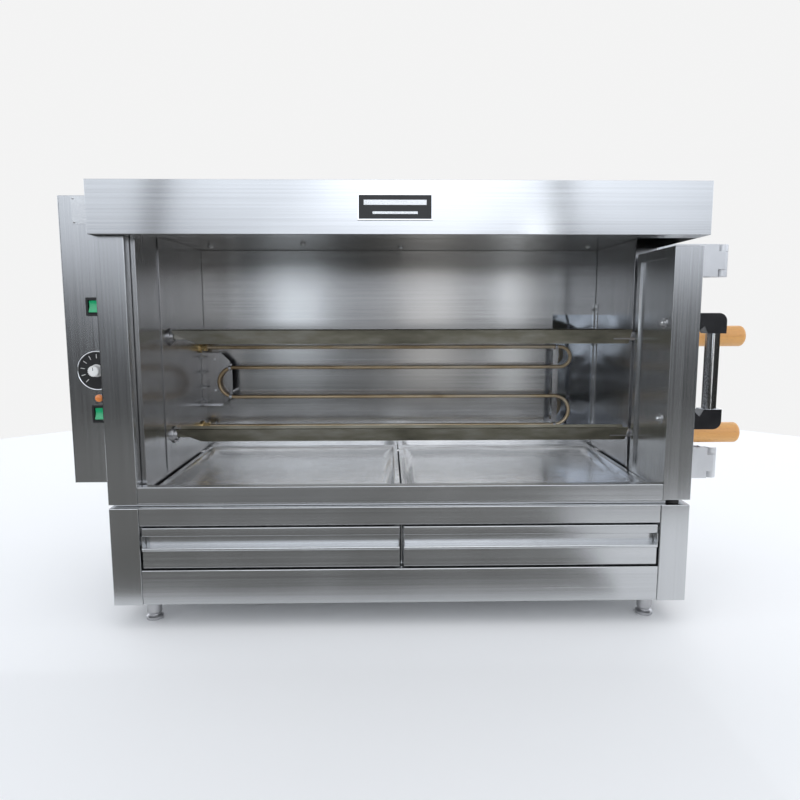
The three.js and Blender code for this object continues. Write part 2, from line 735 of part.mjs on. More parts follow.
// ---------------------------------------------------------------- control box
// A folded box on the left wall with a louvred cover; two rocker switches, a thermostat and a pilot lamp are
// let into its front.
function controls() {
  const front = boxSetback;
  const back = boxSetback + boxDepth;
  const top = boxTop;
  const square = (centre, half) => [centre - half, centre + half];
  const ring = cut(
    block([boxOuter + sheet + clearance, left - clearance], [front, back], [boxFoot, top]),
    block([boxOuter, left], [front + sheet, back - sheet], [boxFoot + sheet, top - sheet]),
  );
  const switches = [['upper', top - switchDrop[0]], ['lower', top - switchDrop[1]]];
  const dialZ = top - dialDrop;
  const lampZ = top - lampDrop;
  const glandZ = boxFoot + glandRise;
  const halfW = switchWidth / 2;
  const halfH = switchHeight / 2;
  const panelLap = 2; // a switch's bezel covers this much of the panel
  const throughFront = [front - over, front + sheet + over];
  const panelHoles = [
    ...switches.map(([, z]) => block(
      square(controlX, halfW - panelLap), throughFront, square(z, halfH - panelLap),
    )),
    rod('y', [dialZ, controlX], 2 * dialShaftRadius, throughFront),
    rod('y', [lampZ, controlX], lampRadius - 1.5, throughFront),
    rod('y', [glandZ, controlX], glandRadius + 1, [back - sheet - over, back + over]),
  ];
  add('control_box', cut(ring, ...panelHoles), steel());

  const slotCount = 8;
  const slotPitch = 14;
  const slotHeight = 6;
  const slotFoot = boxFoot + 60;
  const slots = [];
  for (let i = 0; i < slotCount; i += 1) {
    slots.push(block(
      [boxOuter - over, boxOuter + sheet + over], [back - 150, back - 50],
      [slotFoot + i * slotPitch, slotFoot + i * slotPitch + slotHeight],
    ));
  }
  add('control_box_cover', cut(
    block([boxOuter, boxOuter + sheet], [front, back], [boxFoot, top]), ...slots,
  ), steel());

  const switchDepth = 26;
  const wellDepth = 8;
  const bodyLap = panelLap + clearance;
  for (const [word, z] of switches) {
    const bezel = [front - clearance - switchBezel, front - clearance];
    const body = join(
      roundedBlock('y', square(z, halfH), square(controlX, halfW), bezel, 2),
      block(
        square(controlX, halfW - bodyLap), [front - over, front + switchDepth], square(z, halfH - bodyLap),
      ),
    );
    const well = [front - wellDepth, front + wellDepth];
    add(`switch_body_${word}`, cut(
      body, block(square(controlX, halfW - 4), well, square(z, halfH - 4.5)),
    ), blackPlastic());
    // the rocker's two faces meet in a shallow valley
    const half = halfH - 5.5;
    const profile = [[-half, -3.2], [0, -0.4], [half, -3.2], [half - 3, 5], [-half + 3, 5]].map(([u, v]) => [
      front + u * Math.sin(rockerTilt) + v * Math.cos(rockerTilt),
      z + u * Math.cos(rockerTilt) - v * Math.sin(rockerTilt),
    ]);
    const rocker = extrude('x', outline(profile.reverse()), square(controlX, halfW - 5));
    add(`rocker_${word}`, rocker, greenPlastic());
  }

  const dialBack = front - clearance;
  const dialFace = dialBack - dialThickness;
  const dialShaftEnd = front - 12;
  const thermostatHalf = 23;
  add('thermostat', join(
    rod('y', [dialZ, controlX], dialRadius, [dialFace, dialBack], 32),
    rod('y', [dialZ, controlX], 2 * dialShaftRadius - over, [front - over, front + 6]),
    rod('y', [dialZ, controlX], dialShaftRadius, [dialShaftEnd, front], 16),
    block(
      square(controlX, thermostatHalf), [front + sheet + clearance, front + 44],
      square(dialZ, thermostatHalf),
    ),
  ), blackPlastic());
  const knobFoot = dialFace - 1;
  const knobTip = knobFoot - knobLength;
  add('thermostat_knob', cut(
    turned('y', [dialZ, controlX], [
      [0, knobTip], [knobRadius - 3, knobTip], [knobRadius - 1.5, knobTip + 1.5],
      [knobRadius - 0.5, knobFoot - 4], [knobRadius + 1, knobFoot - 2], [knobRadius + 1, knobFoot],
      [0, knobFoot],
    ]),
    rod('y', [dialZ, controlX], dialShaftRadius + clearance, [dialShaftEnd - clearance, front], 16),
  ), whitePlastic());
  add('pilot_lamp', turned('y', [lampZ, controlX], [
    [0, front - 6], [lampRadius - 3, front - 5.4], [lampRadius - 1.2, front - 3.6], [lampRadius, front - 1.6],
    [lampRadius, front - clearance], [lampRadius - 2, front - clearance], [lampRadius - 2, front + 18],
    [0, front + 18],
  ], 20), amberPlastic());
  const collar = glandRadius + 5;
  const bore = 4.6;
  add('cable_gland', turned('y', [glandZ, controlX], [
    [0, back - 12], [glandRadius, back - 12], [glandRadius, back + clearance], [collar, back + clearance],
    [collar, back + 8], [collar - 3, back + 9], [glandRadius + 0.5, back + 20], [bore, back + 22],
    [bore, back - 8], [0, back - 8],
  ], 20), blackPlastic());
}

// ---------------------------------------------------------------- side door
// A hollow folded door with a sunk inner face, on two cast hinges that carry its axis well outboard, so that
// it swings round the wooden handles; a tube handle with moulded ends outside, and a rubber rest under it.
function sideDoor() {
  const middleOf = (margin) => [doorFoot + margin, doorHead - margin];
  add('door', cut(
    block([doorInner, right], [0, doorDepth], middleOf(0)),
    block(
      [doorInner - over, doorInner + doorRecess], [doorBorder, doorDepth - doorBorder], middleOf(doorBorder),
    ),
    block(
      [doorInner + doorRecess + sheet, right - sheet], [sheet, doorDepth - sheet],
      [doorFoot - over, doorHead - sheet],
    ),
  ), steel());

  const face = right + clearance;
  const half = hingeHeight / 2;
  const armEnd = hingeX - barrelRadius - 1;
  const webStart = hingeX - barrelRadius - 8;
  const bracketY = wallStart - hingePlate + 0.5;
  for (const [word, z] of [['upper', doorHead - hingeDrop], ['lower', doorFoot + hingeRise]]) {
    const arm = (y0) => block([face, armEnd], [y0, y0 + hingePlate], [z - half, z + half]);
    const leaf = (y0, y1) => block(
      [face, face + hingePlate], [y0, y1], [z - half + 4, Math.min(z + half, hoodFoot) - 20],
    );
    const ring = (radius, z0, z1) => rod('z', [hingeX, spitDepth], radius, [z0, z1], 20);
    const web = (y0, y1, z0, z1) => block([webStart, hingeX], [y0, y1], [z0, z1]);
    const inner = [z - half + knuckleHeight + clearance, z + half - knuckleHeight - clearance];
    add(`hinge_arm_${word}`, cut(
      join(
        arm(doorDepth), leaf(doorDepth - hingeLeaf, doorDepth + hingePlate), ring(barrelRadius, ...inner),
        web(doorDepth, spitDepth - 4, ...inner),
      ),
      ring(pinRadius + clearance, z - half - over, z + half + over),
    ), castSteel());
    const knuckles = [[z - half, z - half + knuckleHeight], [z + half - knuckleHeight, z + half]];
    add(`hinge_bracket_${word}`, join(
      arm(bracketY), leaf(bracketY, wallStart + hingeLeaf),
      ...knuckles.flatMap(([z0, z1]) => [
        ring(barrelRadius, z0, z1), web(spitDepth, bracketY + hingePlate, z0, z1),
      ]),
      ring(pinRadius, z - half, z + half),
    ), castSteel());
  }

  const middle = doorFoot + handleRise;
  const tubeX = right + handleStandoff;
  const outer = tubeX + handleTubeRadius + 5;
  const halfLength = handleLength / 2;
  const shoulderSteps = 6;
  // an end in (z, x): a broad foot on the door, an arm, and a rounded shoulder over the tube
  const endOutline = (far, side) => {
    const points = [[0, face]];
    for (let i = 0; i <= shoulderSteps; i += 1) {
      const angle = Math.PI - (i * Math.PI) / 2 / shoulderSteps;
      points.push([
        handleShoulder * (1 + Math.cos(angle)), outer - handleShoulder * (1 - Math.sin(angle)),
      ]);
    }
    points.push(
      [handleEnd, outer], [handleEnd, tubeX - handleTubeRadius - 3], [handleEnd - 12, face + 20],
      [handleEnd, face + 7], [handleEnd, face],
    );
    return outline(points.map(([t, x]) => [far - side * t, x]));
  };
  const socketDepth = handleEnd * 0.4;
  for (const [word, side] of [['upper', 1], ['lower', -1]]) {
    const far = middle + side * halfLength;
    const mouth = far - side * handleEnd;
    const floor = mouth + side * socketDepth;
    const span = [mouth - side, floor].sort((p, q) => p - q);
    add(`door_handle_end_${word}`, cut(
      extrude('y', endOutline(far, side), [handleSetback - handleEndHalf, handleSetback + handleEndHalf]),
      rod('z', [tubeX, handleSetback], handleTubeRadius + clearance, span),
    ), blackPlastic());
  }
  const tubeHalf = halfLength - handleEnd + socketDepth - clearance;
  add('door_handle_tube', rod(
    'z', [tubeX, handleSetback], handleTubeRadius, [middle - tubeHalf, middle + tubeHalf],
  ), chrome());
  add('door_buffer', rod(
    'z', [right - bufferInset, bufferSetback], bufferRadius, [baseTop + clearance, doorFoot - clearance],
  ), rubber());
}

plinth();
drawers();
chamber();
hood();
dripPans();
heater();
spits();
drive();
controls();
sideDoor();

// The origin is on the floor under the middle of the whole object's box.
const farLeft = boxOuter;
const farRight = right + woodStart + woodLength;
const farFront = -hoodOverhang;
group.position.set(-(farLeft + farRight) / 2, -(farFront + bodyDepth) / 2, 0);

export default group;
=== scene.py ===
# A countertop rotisserie oven in brushed stainless sheet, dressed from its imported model. Metres, +Z up,
# the open front faces -Y.
import json
from math import cos, pi, radians, sin

import bpy
from mathutils import Matrix, Vector

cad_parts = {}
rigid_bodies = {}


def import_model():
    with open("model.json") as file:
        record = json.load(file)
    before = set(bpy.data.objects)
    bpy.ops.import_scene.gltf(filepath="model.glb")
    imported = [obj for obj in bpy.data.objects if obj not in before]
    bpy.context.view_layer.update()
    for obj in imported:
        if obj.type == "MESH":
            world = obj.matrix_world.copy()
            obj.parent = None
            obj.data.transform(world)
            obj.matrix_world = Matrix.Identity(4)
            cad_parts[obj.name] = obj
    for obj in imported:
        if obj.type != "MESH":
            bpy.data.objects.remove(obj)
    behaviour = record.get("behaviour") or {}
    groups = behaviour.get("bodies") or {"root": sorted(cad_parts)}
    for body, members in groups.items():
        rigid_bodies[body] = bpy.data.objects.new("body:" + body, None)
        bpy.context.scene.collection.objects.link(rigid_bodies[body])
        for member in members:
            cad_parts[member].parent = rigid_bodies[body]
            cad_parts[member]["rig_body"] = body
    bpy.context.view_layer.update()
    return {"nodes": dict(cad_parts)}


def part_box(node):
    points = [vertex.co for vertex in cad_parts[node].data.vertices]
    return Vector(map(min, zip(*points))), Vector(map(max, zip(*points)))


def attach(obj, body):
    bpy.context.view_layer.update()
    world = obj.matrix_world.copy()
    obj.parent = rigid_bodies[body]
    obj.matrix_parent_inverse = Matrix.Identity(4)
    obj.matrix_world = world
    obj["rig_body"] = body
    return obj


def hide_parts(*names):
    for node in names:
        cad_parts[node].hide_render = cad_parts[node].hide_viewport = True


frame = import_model()

# ---------------------------------------------------------------- studio
# A soft bright surround turns dark below the horizon. One small and two tall soft boxes stand in front, a
# broad one hangs overhead and one stands behind. The camera stands a little left of the middle, below the
# height of the hood.
scene = bpy.context.scene
scene.view_settings.view_transform = "Standard"
camera = bpy.data.objects.new("camera", bpy.data.cameras.new("camera"))
scene.collection.objects.link(camera)
scene.camera = camera
camera.data.lens = 29.7
camera.data.sensor_width = 36
camera.location = (-0.0558, -1.3214, 0.5453)
camera.rotation_euler = (radians(82.7), radians(0.06), radians(-1.157))

world = bpy.data.worlds.new("surround")
scene.world = world
world.use_nodes = True
world_nodes = world.node_tree.nodes
place = world_nodes.new("ShaderNodeTexCoord")
split = world_nodes.new("ShaderNodeSeparateXYZ")
height = world_nodes.new("ShaderNodeValToRGB")
sky = height.color_ramp.elements
sky[0].color = (0.030, 0.030, 0.028, 1)
sky[1].color = (0.45, 0.46, 0.48, 1)
for stop, tone in (
    (0.02, (0.10, 0.10, 0.10)), (0.08, (0.86, 0.90, 0.98)),
    (0.20, (1.85, 1.95, 2.10)), (0.45, (1.50, 1.56, 1.65)),
):
    sky.new(stop).color = (*tone, 1)
room = world_nodes.new("ShaderNodeTexNoise")
room.inputs["Scale"].default_value = 3.5
room.inputs["Detail"].default_value = 3.0
uneven = world_nodes.new("ShaderNodeMapRange")
for socket, value in (("From Min", 0.35), ("From Max", 0.65), ("To Min", 0.62), ("To Max", 1.22)):
    uneven.inputs[socket].default_value = value
lit = world_nodes.new("ShaderNodeMix")
lit.data_type = "RGBA"
lit.blend_type = "MULTIPLY"
lit.inputs["Factor"].default_value = 1.0
seen = world_nodes.new("ShaderNodeLightPath")
backdrop = world_nodes.new("ShaderNodeMix")
backdrop.data_type = "RGBA"
backdrop.inputs["B"].default_value = (0.90, 0.90, 0.90, 1)
for source, target in (
    (place.outputs["Generated"], split.inputs["Vector"]),
    (split.outputs["Z"], height.inputs["Fac"]),
    (seen.outputs["Is Camera Ray"], backdrop.inputs["Factor"]),
    (place.outputs["Generated"], room.inputs["Vector"]),
    (room.outputs["Fac"], uneven.inputs["Value"]),
    (height.outputs["Color"], lit.inputs["A"]),
    (uneven.outputs["Result"], lit.inputs["B"]),
    (lit.outputs["Result"], backdrop.inputs["A"]),
    (backdrop.outputs["Result"], world_nodes["Background"].inputs["Color"]),
):
    world.node_tree.links.new(source, target)


def soft_box(name, at, aim, size, power, tint=(1, 1, 1)):
    light = bpy.data.lights.new(name, "AREA")
    light.shape = "RECTANGLE"
    light.size, light.size_y = size
    light.energy = power
    light.color = tint
    lamp = bpy.data.objects.new(name, light)
    lamp.location = at
    lamp.rotation_euler = (Vector(aim) - Vector(at)).to_track_quat("-Z", "Y").to_euler()
    lamp.visible_camera = False
    scene.collection.objects.link(lamp)


soft_box("window_left", (-0.78, -3.6, 0.56), (-0.2, 0, 0.4), (0.44, 0.56), 1.5, (0.86, 0.93, 1.0))
soft_box("window_middle", (0.30, -3.7, 0.50), (0, 0, 0.4), (0.45, 0.90), 1.2, (1.0, 0.98, 0.95))
soft_box("window_right", (0.92, -3.5, 0.50), (0.2, 0, 0.4), (0.12, 1.20), 1.2, (0.95, 0.98, 1.0))
soft_box("overhead", (0.3, -1.2, 3.0), (0, 0, 0.3), (3.2, 2.2), 16)
soft_box("back_fill", (0.4, 3.2, 1.9), (0, 0, 0.3), (2.4, 1.2), 14)


# ---------------------------------------------------------------- shader maths
# A material is written as expressions on shader sockets. Wire wraps one socket, and Paint is one material's
# node tree with a single way of adding a node.
class Wire:
    def __init__(self, paint, socket):
        self.paint = paint
        self.socket = socket

    def join(self, operation, a, b):
        return self.paint.node("ShaderNodeMath", {"operation": operation}, {0: a, 1: b})

    def __add__(self, other):
        return self.join("ADD", self, other)

    def __sub__(self, other):
        return self.join("SUBTRACT", self, other)

    def __rsub__(self, other):
        return self.join("SUBTRACT", other, self)

    def __mul__(self, other):
        return self.join("MULTIPLY", self, other)

    def power(self, other):
        return self.join("POWER", self, other)

    __radd__ = __add__
    __rmul__ = __mul__


class Paint:
    def __init__(self, name, **fixed):
        self.material = bpy.data.materials.new(name)
        self.material.use_nodes = True
        self.tree = self.material.node_tree
        self.shader = self.tree.nodes["Principled BSDF"]
        self.set(**fixed)

    def feed(self, node, socket, value):
        if isinstance(value, Wire):
            self.tree.links.new(value.socket, node.inputs[socket])
        elif isinstance(value, tuple) and len(value) == 3 and node.inputs[socket].type == "RGBA":
            node.inputs[socket].default_value = (*value, 1)
        else:
            node.inputs[socket].default_value = value

    def node(self, kind, settings, inputs, output=0):
        made = self.tree.nodes.new(kind)
        for name, value in settings.items():
            if name == "stops":
                made.color_ramp.elements.remove(made.color_ramp.elements[1])
                for i, (position, tone) in enumerate(value):
                    element = made.color_ramp.elements.new(position) if i else made.color_ramp.elements[0]
                    element.position = position
                    element.color = (*tone, 1)
            else:
                setattr(made, name, value)
        for socket, value in inputs.items():
            self.feed(made, socket, value)
        return Wire(self, made.outputs[output])

    def noise(self, scale, detail=2.0, stretch=(1, 1, 1), turn=(0, 0, 0)):
        here = self.node("ShaderNodeTexCoord", {}, {}, "Object")
        at = self.node("ShaderNodeMapping", {}, {"Vector": here, "Scale": stretch, "Rotation": turn})
        return self.node("ShaderNodeTexNoise", {}, {"Vector": at, "Scale": scale, "Detail": detail})

    def blend(self, share, a, b):
        return self.node("ShaderNodeMix", {"data_type": "RGBA"}, {"Factor": share, "A": a, "B": b}, "Result")

    def ramp(self, share, *stops):
        return self.node("ShaderNodeValToRGB", {"stops": stops}, {"Fac": share})

    def relief(self, height, distance, strength):
        bump = self.node("ShaderNodeBump", {}, {"Height": height, "Distance": distance, "Strength": strength})
        self.feed(self.shader, "Normal", bump)

    def set(self, **values):
        for socket, value in values.items():
            self.feed(self.shader, socket.replace("_", " "), value)
        return self.material


# ---------------------------------------------------------------- floor and cards
# The floor is a round, pale, matt sheet without pattern, a little uneven in sheen. Four felt cards, two
# upright and two lying, show only in reflections and give the steel its grey streaks and dark tones.
def felt_card(at, turn, size, felt):
    bpy.ops.mesh.primitive_plane_add(size=1, location=at, rotation=turn)
    card = bpy.context.object
    card.name = "dark_card"
    card.scale = (*size, 1)
    card.visible_camera = card.visible_shadow = card.visible_diffuse = False
    card.data.materials.append(felt)


def felt_shade(name, low, high):
    felt = Paint(name, Metallic=0.0)
    weave = felt.noise(2.0, 2.0)
    return felt.set(Base_Color=felt.blend(weave, low, high), Roughness=0.7 + weave * 0.2)


grey_felt = felt_shade("grey_felt", (0.26, 0.26, 0.27), (0.42, 0.42, 0.43))
dark_felt = felt_shade("dark_felt", (0.05, 0.048, 0.042), (0.20, 0.19, 0.17))
for x, width, lean in ((-1.45, 0.14, 7), (1.02, 0.12, -6)):
    felt_card((x, -3.3, 1.3), (radians(90), radians(lean), 0), (width, 2.4), grey_felt)
for x, y, width, depth in ((-0.75, -0.65, 2.3, 0.6), (-0.2, -1.65, 3.4, 1.4)):
    felt_card((x, y, 0.004), (0, 0, 0), (width, depth), dark_felt)

ground = Paint("pale_floor", Metallic=0.0)
breadth = ground.noise(1.3, 3.0)
bpy.ops.mesh.primitive_circle_add(vertices=96, radius=2.4, fill_type="NGON")
floor = bpy.context.object
floor.name = "floor"
floor.data.materials.append(ground.set(
    Base_Color=ground.blend(breadth, (0.88, 0.88, 0.88), (0.91, 0.91, 0.91)), Roughness=0.55 + breadth * 0.2,
))

# ---------------------------------------------------------------- brushed stainless sheet
# Satin sheet, brushed along its length: fine unbroken grain, a few deeper scratches, and faint cloudy smears
# where it has been wiped. One finish for each direction of grain, and others for the linings and the hood.
GRAIN = {"x": (1.5, 300, 300), "y": (300, 1.5, 300), "z": (300, 300, 1.5)}


def brushed_sheet(name, grain, tone=(0.62, 0.63, 0.64), roughness=0.24, lines=0.10, smears=0.08, turn=0.25):
    paint = Paint(name, Metallic=1.0, Anisotropic=0.45, Anisotropic_Rotation=turn)
    streaks = paint.noise(1.0, 4.0, GRAIN[grain])
    bands = paint.noise(1.0, 2.0, tuple(v / 12 for v in GRAIN[grain]))
    scratches = paint.noise(1.0, 1.0, tuple(v * 0.55 for v in GRAIN[grain])).power(9.0)
    clouds = paint.noise(4.5, 3.0)
    wiped = paint.noise(14.0, 4.0, (1, 1, 0.5))
    shade = (streaks - 0.5) * 0.62 + (bands - 0.5) * 0.20 + (clouds - 0.5) * 0.30
    dark = tuple(v * 0.66 for v in tone)
    pale = tuple(min(1.0, v * 1.18) for v in tone)
    colour = paint.blend(shade + 0.5, dark, pale)
    rough = roughness + (streaks - 0.5) * lines + (clouds - 0.5) * smears + (wiped - 0.5) * smears * 0.6
    paint.relief(streaks * 0.6 + scratches * 3.0 + bands * 0.5, 0.00006, 0.55)
    return paint.set(Base_Color=colour, Roughness=rough)


steel_along_x = brushed_sheet("brushed_steel_along_x", "x")
steel_along_y = brushed_sheet("brushed_steel_along_y", "y")
steel_along_z = brushed_sheet("brushed_steel_along_z", "z", turn=0.0)
steel_inside = brushed_sheet("brushed_steel_inside", "x", (0.56, 0.56, 0.56), 0.20, 0.07, 0.07)
steel_side_lining = brushed_sheet("brushed_steel_side_lining", "z", (0.54, 0.54, 0.55), 0.24, 0.09, 0.09, 0.0)
steel_hood = brushed_sheet("brushed_steel_hood", "x", (0.64, 0.65, 0.66), 0.15, 0.06, 0.06)


# Folds are round and cut edges are broken, so a sheet piece is a merged copy of its plain solid with each
# outer edge bevelled: by the fold's radius between two broad faces, and by less beside a thin rim.
def weight_edges(mesh, fold):
    sharpest, rim_share = radians(24), 0.42
    width = [2 * face.area / sum(
        (mesh.vertices[a].co - mesh.vertices[b].co).length for a, b in face.edge_keys
    ) for face in mesh.polygons]
    beside = {}
    for face in mesh.polygons:
        for key in face.edge_keys:
            beside.setdefault(key, []).append(face.index)
    weights = mesh.attributes.new("bevel_weight_edge", "FLOAT", "EDGE")
    for edge in mesh.edges:
        faces = beside.get(edge.key, [])
        if len(faces) != 2:
            continue
        one, two = (mesh.polygons[i] for i in faces)
        outward = (two.center - one.center).dot(one.normal) < 0
        if outward and one.normal.angle(two.normal, 0.0) > sharpest:
            room = rim_share * min(width[i] for i in faces)
            weights.data[edge.index].value = min(1.0, room / fold)


def only(*pieces):
    bpy.ops.object.select_all(action="DESELECT")
    for piece in pieces:
        piece.select_set(True)
    bpy.context.view_layer.objects.active = pieces[0]


def apply(piece, kind, **settings):
    only(piece)
    modifier = piece.modifiers.new(kind.lower(), kind)
    for name, value in settings.items():
        setattr(modifier, name, value)
    bpy.ops.object.modifier_apply(modifier=modifier.name)


def wear(piece, material, smooth=32):
    piece.data.materials.clear()
    piece.data.materials.append(material)
    only(piece)
    bpy.ops.object.shade_smooth_by_angle(angle=radians(smooth))
    apply(piece, "WEIGHTED_NORMAL", mode="FACE_AREA", weight=80, keep_sharp=True)


def eased(node, name, material, fold=0.0016, segments=3, smooth=32):
    source = frame["nodes"][node]
    piece = bpy.data.objects.new(name, source.data.copy())
    scene.collection.objects.link(piece)
    only(piece)
    bpy.ops.object.mode_set(mode="EDIT")
    bpy.ops.mesh.select_all(action="SELECT")
    bpy.ops.mesh.remove_doubles(threshold=0.00001)
    bpy.ops.mesh.dissolve_limited(angle_limit=radians(0.5))
    bpy.ops.object.mode_set(mode="OBJECT")
    weight_edges(piece.data, fold)
    apply(piece, "BEVEL", limit_method="WEIGHT", width=fold, segments=segments, use_clamp_overlap=True)
    wear(piece, material, smooth)
    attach(piece, source["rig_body"])
    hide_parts(node)


# ---------------------------------------------------------------- plinth
# The base is folded sheet: two upright side tubes, a top rail, a tray turned up in front as a skirt, and a
# divider between the drawers. Everything is spot welded, so no fixings show.
eased("base_side_left", "plinth_side_left", steel_along_z, 0.0020)
eased("base_side_right", "plinth_side_right", steel_along_z, 0.0020)
eased("base_top_rail", "plinth_top_rail", steel_along_x)
eased("base_tray", "plinth_tray", steel_along_x)
eased("drawer_divider", "plinth_divider", steel_along_y)


# ---------------------------------------------------------------- drawers
# Each drawer front is one folded sheet with a finger channel let into it, closed at both ends by a small
# welded plate. It carries a thin spot-welded pan.
def settle(piece, moved=Matrix.Identity(4)):
    piece.matrix_world = moved @ piece.matrix_world
    only(piece)
    bpy.ops.object.transform_apply(location=True, rotation=True, scale=True)


def block(name, low, high, edge=0.0005, segments=2):
    low, high = Vector(low), Vector(high)
    bpy.ops.object.select_all(action="DESELECT")
    bpy.ops.mesh.primitive_cube_add(size=1, location=(low + high) / 2, scale=high - low)
    piece = bpy.context.object
    piece.name = name
    settle(piece)
    apply(piece, "BEVEL", width=edge, segments=segments, use_clamp_overlap=True)
    return piece


def joined(name, *parts):
    only(*parts)
    if len(parts) > 1:
        bpy.ops.object.join()
    piece = bpy.context.object
    piece.name = name
    piece.data.name = name
    return piece


def dressed(piece, material, body, slot, *nodes):
    wear(piece, material)
    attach(piece, body)
    if nodes:
        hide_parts(*nodes)


air = 0.0003  # the gap left beside a piece that lies against another
channel_top, channel_foot, channel_depth = 0.0155, 0.0350, 0.0140
channel_lap, channel_sheet = 0.0008, 0.0012
for side in ("left", "right"):
    eased("drawer_front_" + side, "drawer_face_" + side, steel_along_x, 0.0018)
    eased("drawer_pan_" + side, "drawer_tray_" + side, steel_along_y, 0.0010)
    low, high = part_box("drawer_front_" + side)
    back, foot = low.y + channel_depth + channel_lap, high.z - channel_foot - channel_lap
    head = high.z - channel_top + channel_lap
    ends = [block("channel_end", (x, low.y + 0.0006, foot), (x + channel_sheet, back, head), 0.0002, 1)
            for x in (low.x + air, high.x - air - channel_sheet)]
    dressed(joined("channel_ends_" + side, *ends), steel_along_y, side + "_drawer", "brushed_stainless")

# ---------------------------------------------------------------- chamber shell
# The roasting chamber stands on a narrow frame, 6 mm clear of the plinth. Its walls are double, with a
# smoother lining inside, and the front rail holds the drip pans. The ceiling is carried on over the side
# door as a narrow wing that closes the hood from below.
eased("chamber_frame", "spacer_frame", steel_along_x, 0.0008)
eased("chamber_front_rail", "front_rail", steel_along_x)
eased("left_post", "front_post_left", steel_along_z, 0.0020)
eased("left_outer_panel", "side_panel_left", steel_along_z)
eased("left_inner_panel", "side_lining_left", steel_side_lining)
eased("back_reflector", "back_lining", steel_inside)
eased("rear_cover", "rear_panel", steel_along_x, 0.0008)
eased("right_rear_wall", "side_wall_right", steel_side_lining, 0.0020)
eased("hood", "hood_shell", steel_hood, 0.0022)
eased("ceiling_panel", "ceiling_sheet", steel_inside, 0.0008)
eased("control_box", "control_box_shell", steel_along_z, 0.0018)
eased("control_box_cover", "control_box_side", steel_along_z, 0.0008)

hood_low, hood_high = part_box("hood")
ceiling_low, ceiling_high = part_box("ceiling_panel")
dressed(block("ceiling_wing", (ceiling_high.x + 0.0005, ceiling_low.y, ceiling_low.z),
              (hood_high.x - 0.0020, ceiling_high.y, ceiling_high.z), 0.0003),
        steel_inside, "oven_body", "brushed_stainless")


# ---------------------------------------------------------------- hinges
# Each of the two hinges is a pair of light-grey zinc castings with a fine sand skin. The leaves are held by
# pan-head screws, and the knuckles turn on a plain pin.
def cast_metal(name, tone, roughness, grain=900):
    paint = Paint(name, Metallic=0.85)
    skin = paint.noise(grain, 3.0)
    dents = paint.noise(grain / 6, 2.0)
    cloud = paint.noise(30.0, 2.0)
    colour = paint.blend(cloud * 0.7 + skin * 0.3, tuple(v * 0.82 for v in tone), tone)
    paint.relief(skin + dents * 0.8, 0.00012, 0.6)
    return paint.set(Base_Color=colour, Roughness=roughness + (dents - 0.5) * 0.16)


# A turned piece grows ring by ring from a flat disc: each (radius, distance) is one extrude along its axis
# and one resize, and a profile that comes back to its start makes an open ring. Turning it to its axis and
# applying its place leaves the object at the origin.
def turned(name, profile, axis, centre, steps=48):
    radius, along = profile[0]
    bpy.ops.object.select_all(action="DESELECT")
    bpy.ops.mesh.primitive_circle_add(vertices=steps, radius=radius, fill_type="NGON", location=(0, 0, along))
    piece = bpy.context.object
    piece.name = name
    bpy.ops.object.mode_set(mode="EDIT")
    bpy.ops.mesh.select_all(action="SELECT")
    for wider, further in profile[1:]:
        bpy.ops.mesh.extrude_region_move(TRANSFORM_OT_translate={"value": (0, 0, further - along)})
        share = wider / radius
        bpy.ops.transform.resize(value=(share, share, 1), center_override=(0, 0, further))
        radius, along = wider, further
    bpy.ops.mesh.select_all(action="SELECT")
    bpy.ops.mesh.remove_doubles(threshold=0.0000001)
    if profile[0] == profile[-1]:
        bpy.ops.mesh.select_all(action="DESELECT")
        bpy.ops.mesh.select_face_by_sides(number=4, type="GREATER")
        bpy.ops.mesh.delete(type="ONLY_FACE")
        bpy.ops.mesh.select_all(action="SELECT")
    bpy.ops.mesh.normals_make_consistent(inside=False)
    bpy.ops.object.mode_set(mode="OBJECT")
    settle(piece, Matrix.Translation(centre) @ upright_to(axis))
    return piece


def upright_to(axis):
    return Vector((0, 0, 1)).rotation_difference(Vector(axis)).to_matrix().to_4x4()


def copied(piece, name, moved):
    twin = bpy.data.objects.new(name, piece.data.copy())
    scene.collection.objects.link(twin)
    settle(twin, moved)
    return twin


def cut(piece, tool):
    apply(piece, "BOOLEAN", operation="DIFFERENCE", object=tool, solver="EXACT")
    bpy.data.objects.remove(tool)


# One pan-head screw with a crossed recess, 1 unit across its head, lying on the ground with its head up.
# Every screw on the oven is a copy of it at its own size, each turned further than the one before.
screw_metal = cast_metal("screw_zinc", (0.74, 0.75, 0.76), 0.24, 2500)
pan_head = turned("pan_head", [
    (0.5, 0), (0.5, 0.10), (0.47, 0.20), (0.38, 0.29), (0.22, 0.34), (0.08, 0.35),
], (0, 0, 1), (0, 0, 0), 24)
for turn in (0, pi / 2):
    recess = block("recess", (-0.26, -0.05, 0.14), (0.26, 0.05, 0.5), 0.01, 1)
    settle(recess, Matrix.Rotation(turn, 4, "Z"))
    cut(pan_head, recess)


def screws(name, body, across, places):
    heads = []
    for i, (at, axis) in enumerate(places):
        facing = Matrix.Translation(at) @ upright_to(axis)
        spun = Matrix.Rotation(radians(37 * i), 4, "Z")
        heads.append(copied(pan_head, name + "_head", facing @ spun @ Matrix.Scale(across, 4)))
    dressed(joined(name, *heads), screw_metal, body, "turned_steel")


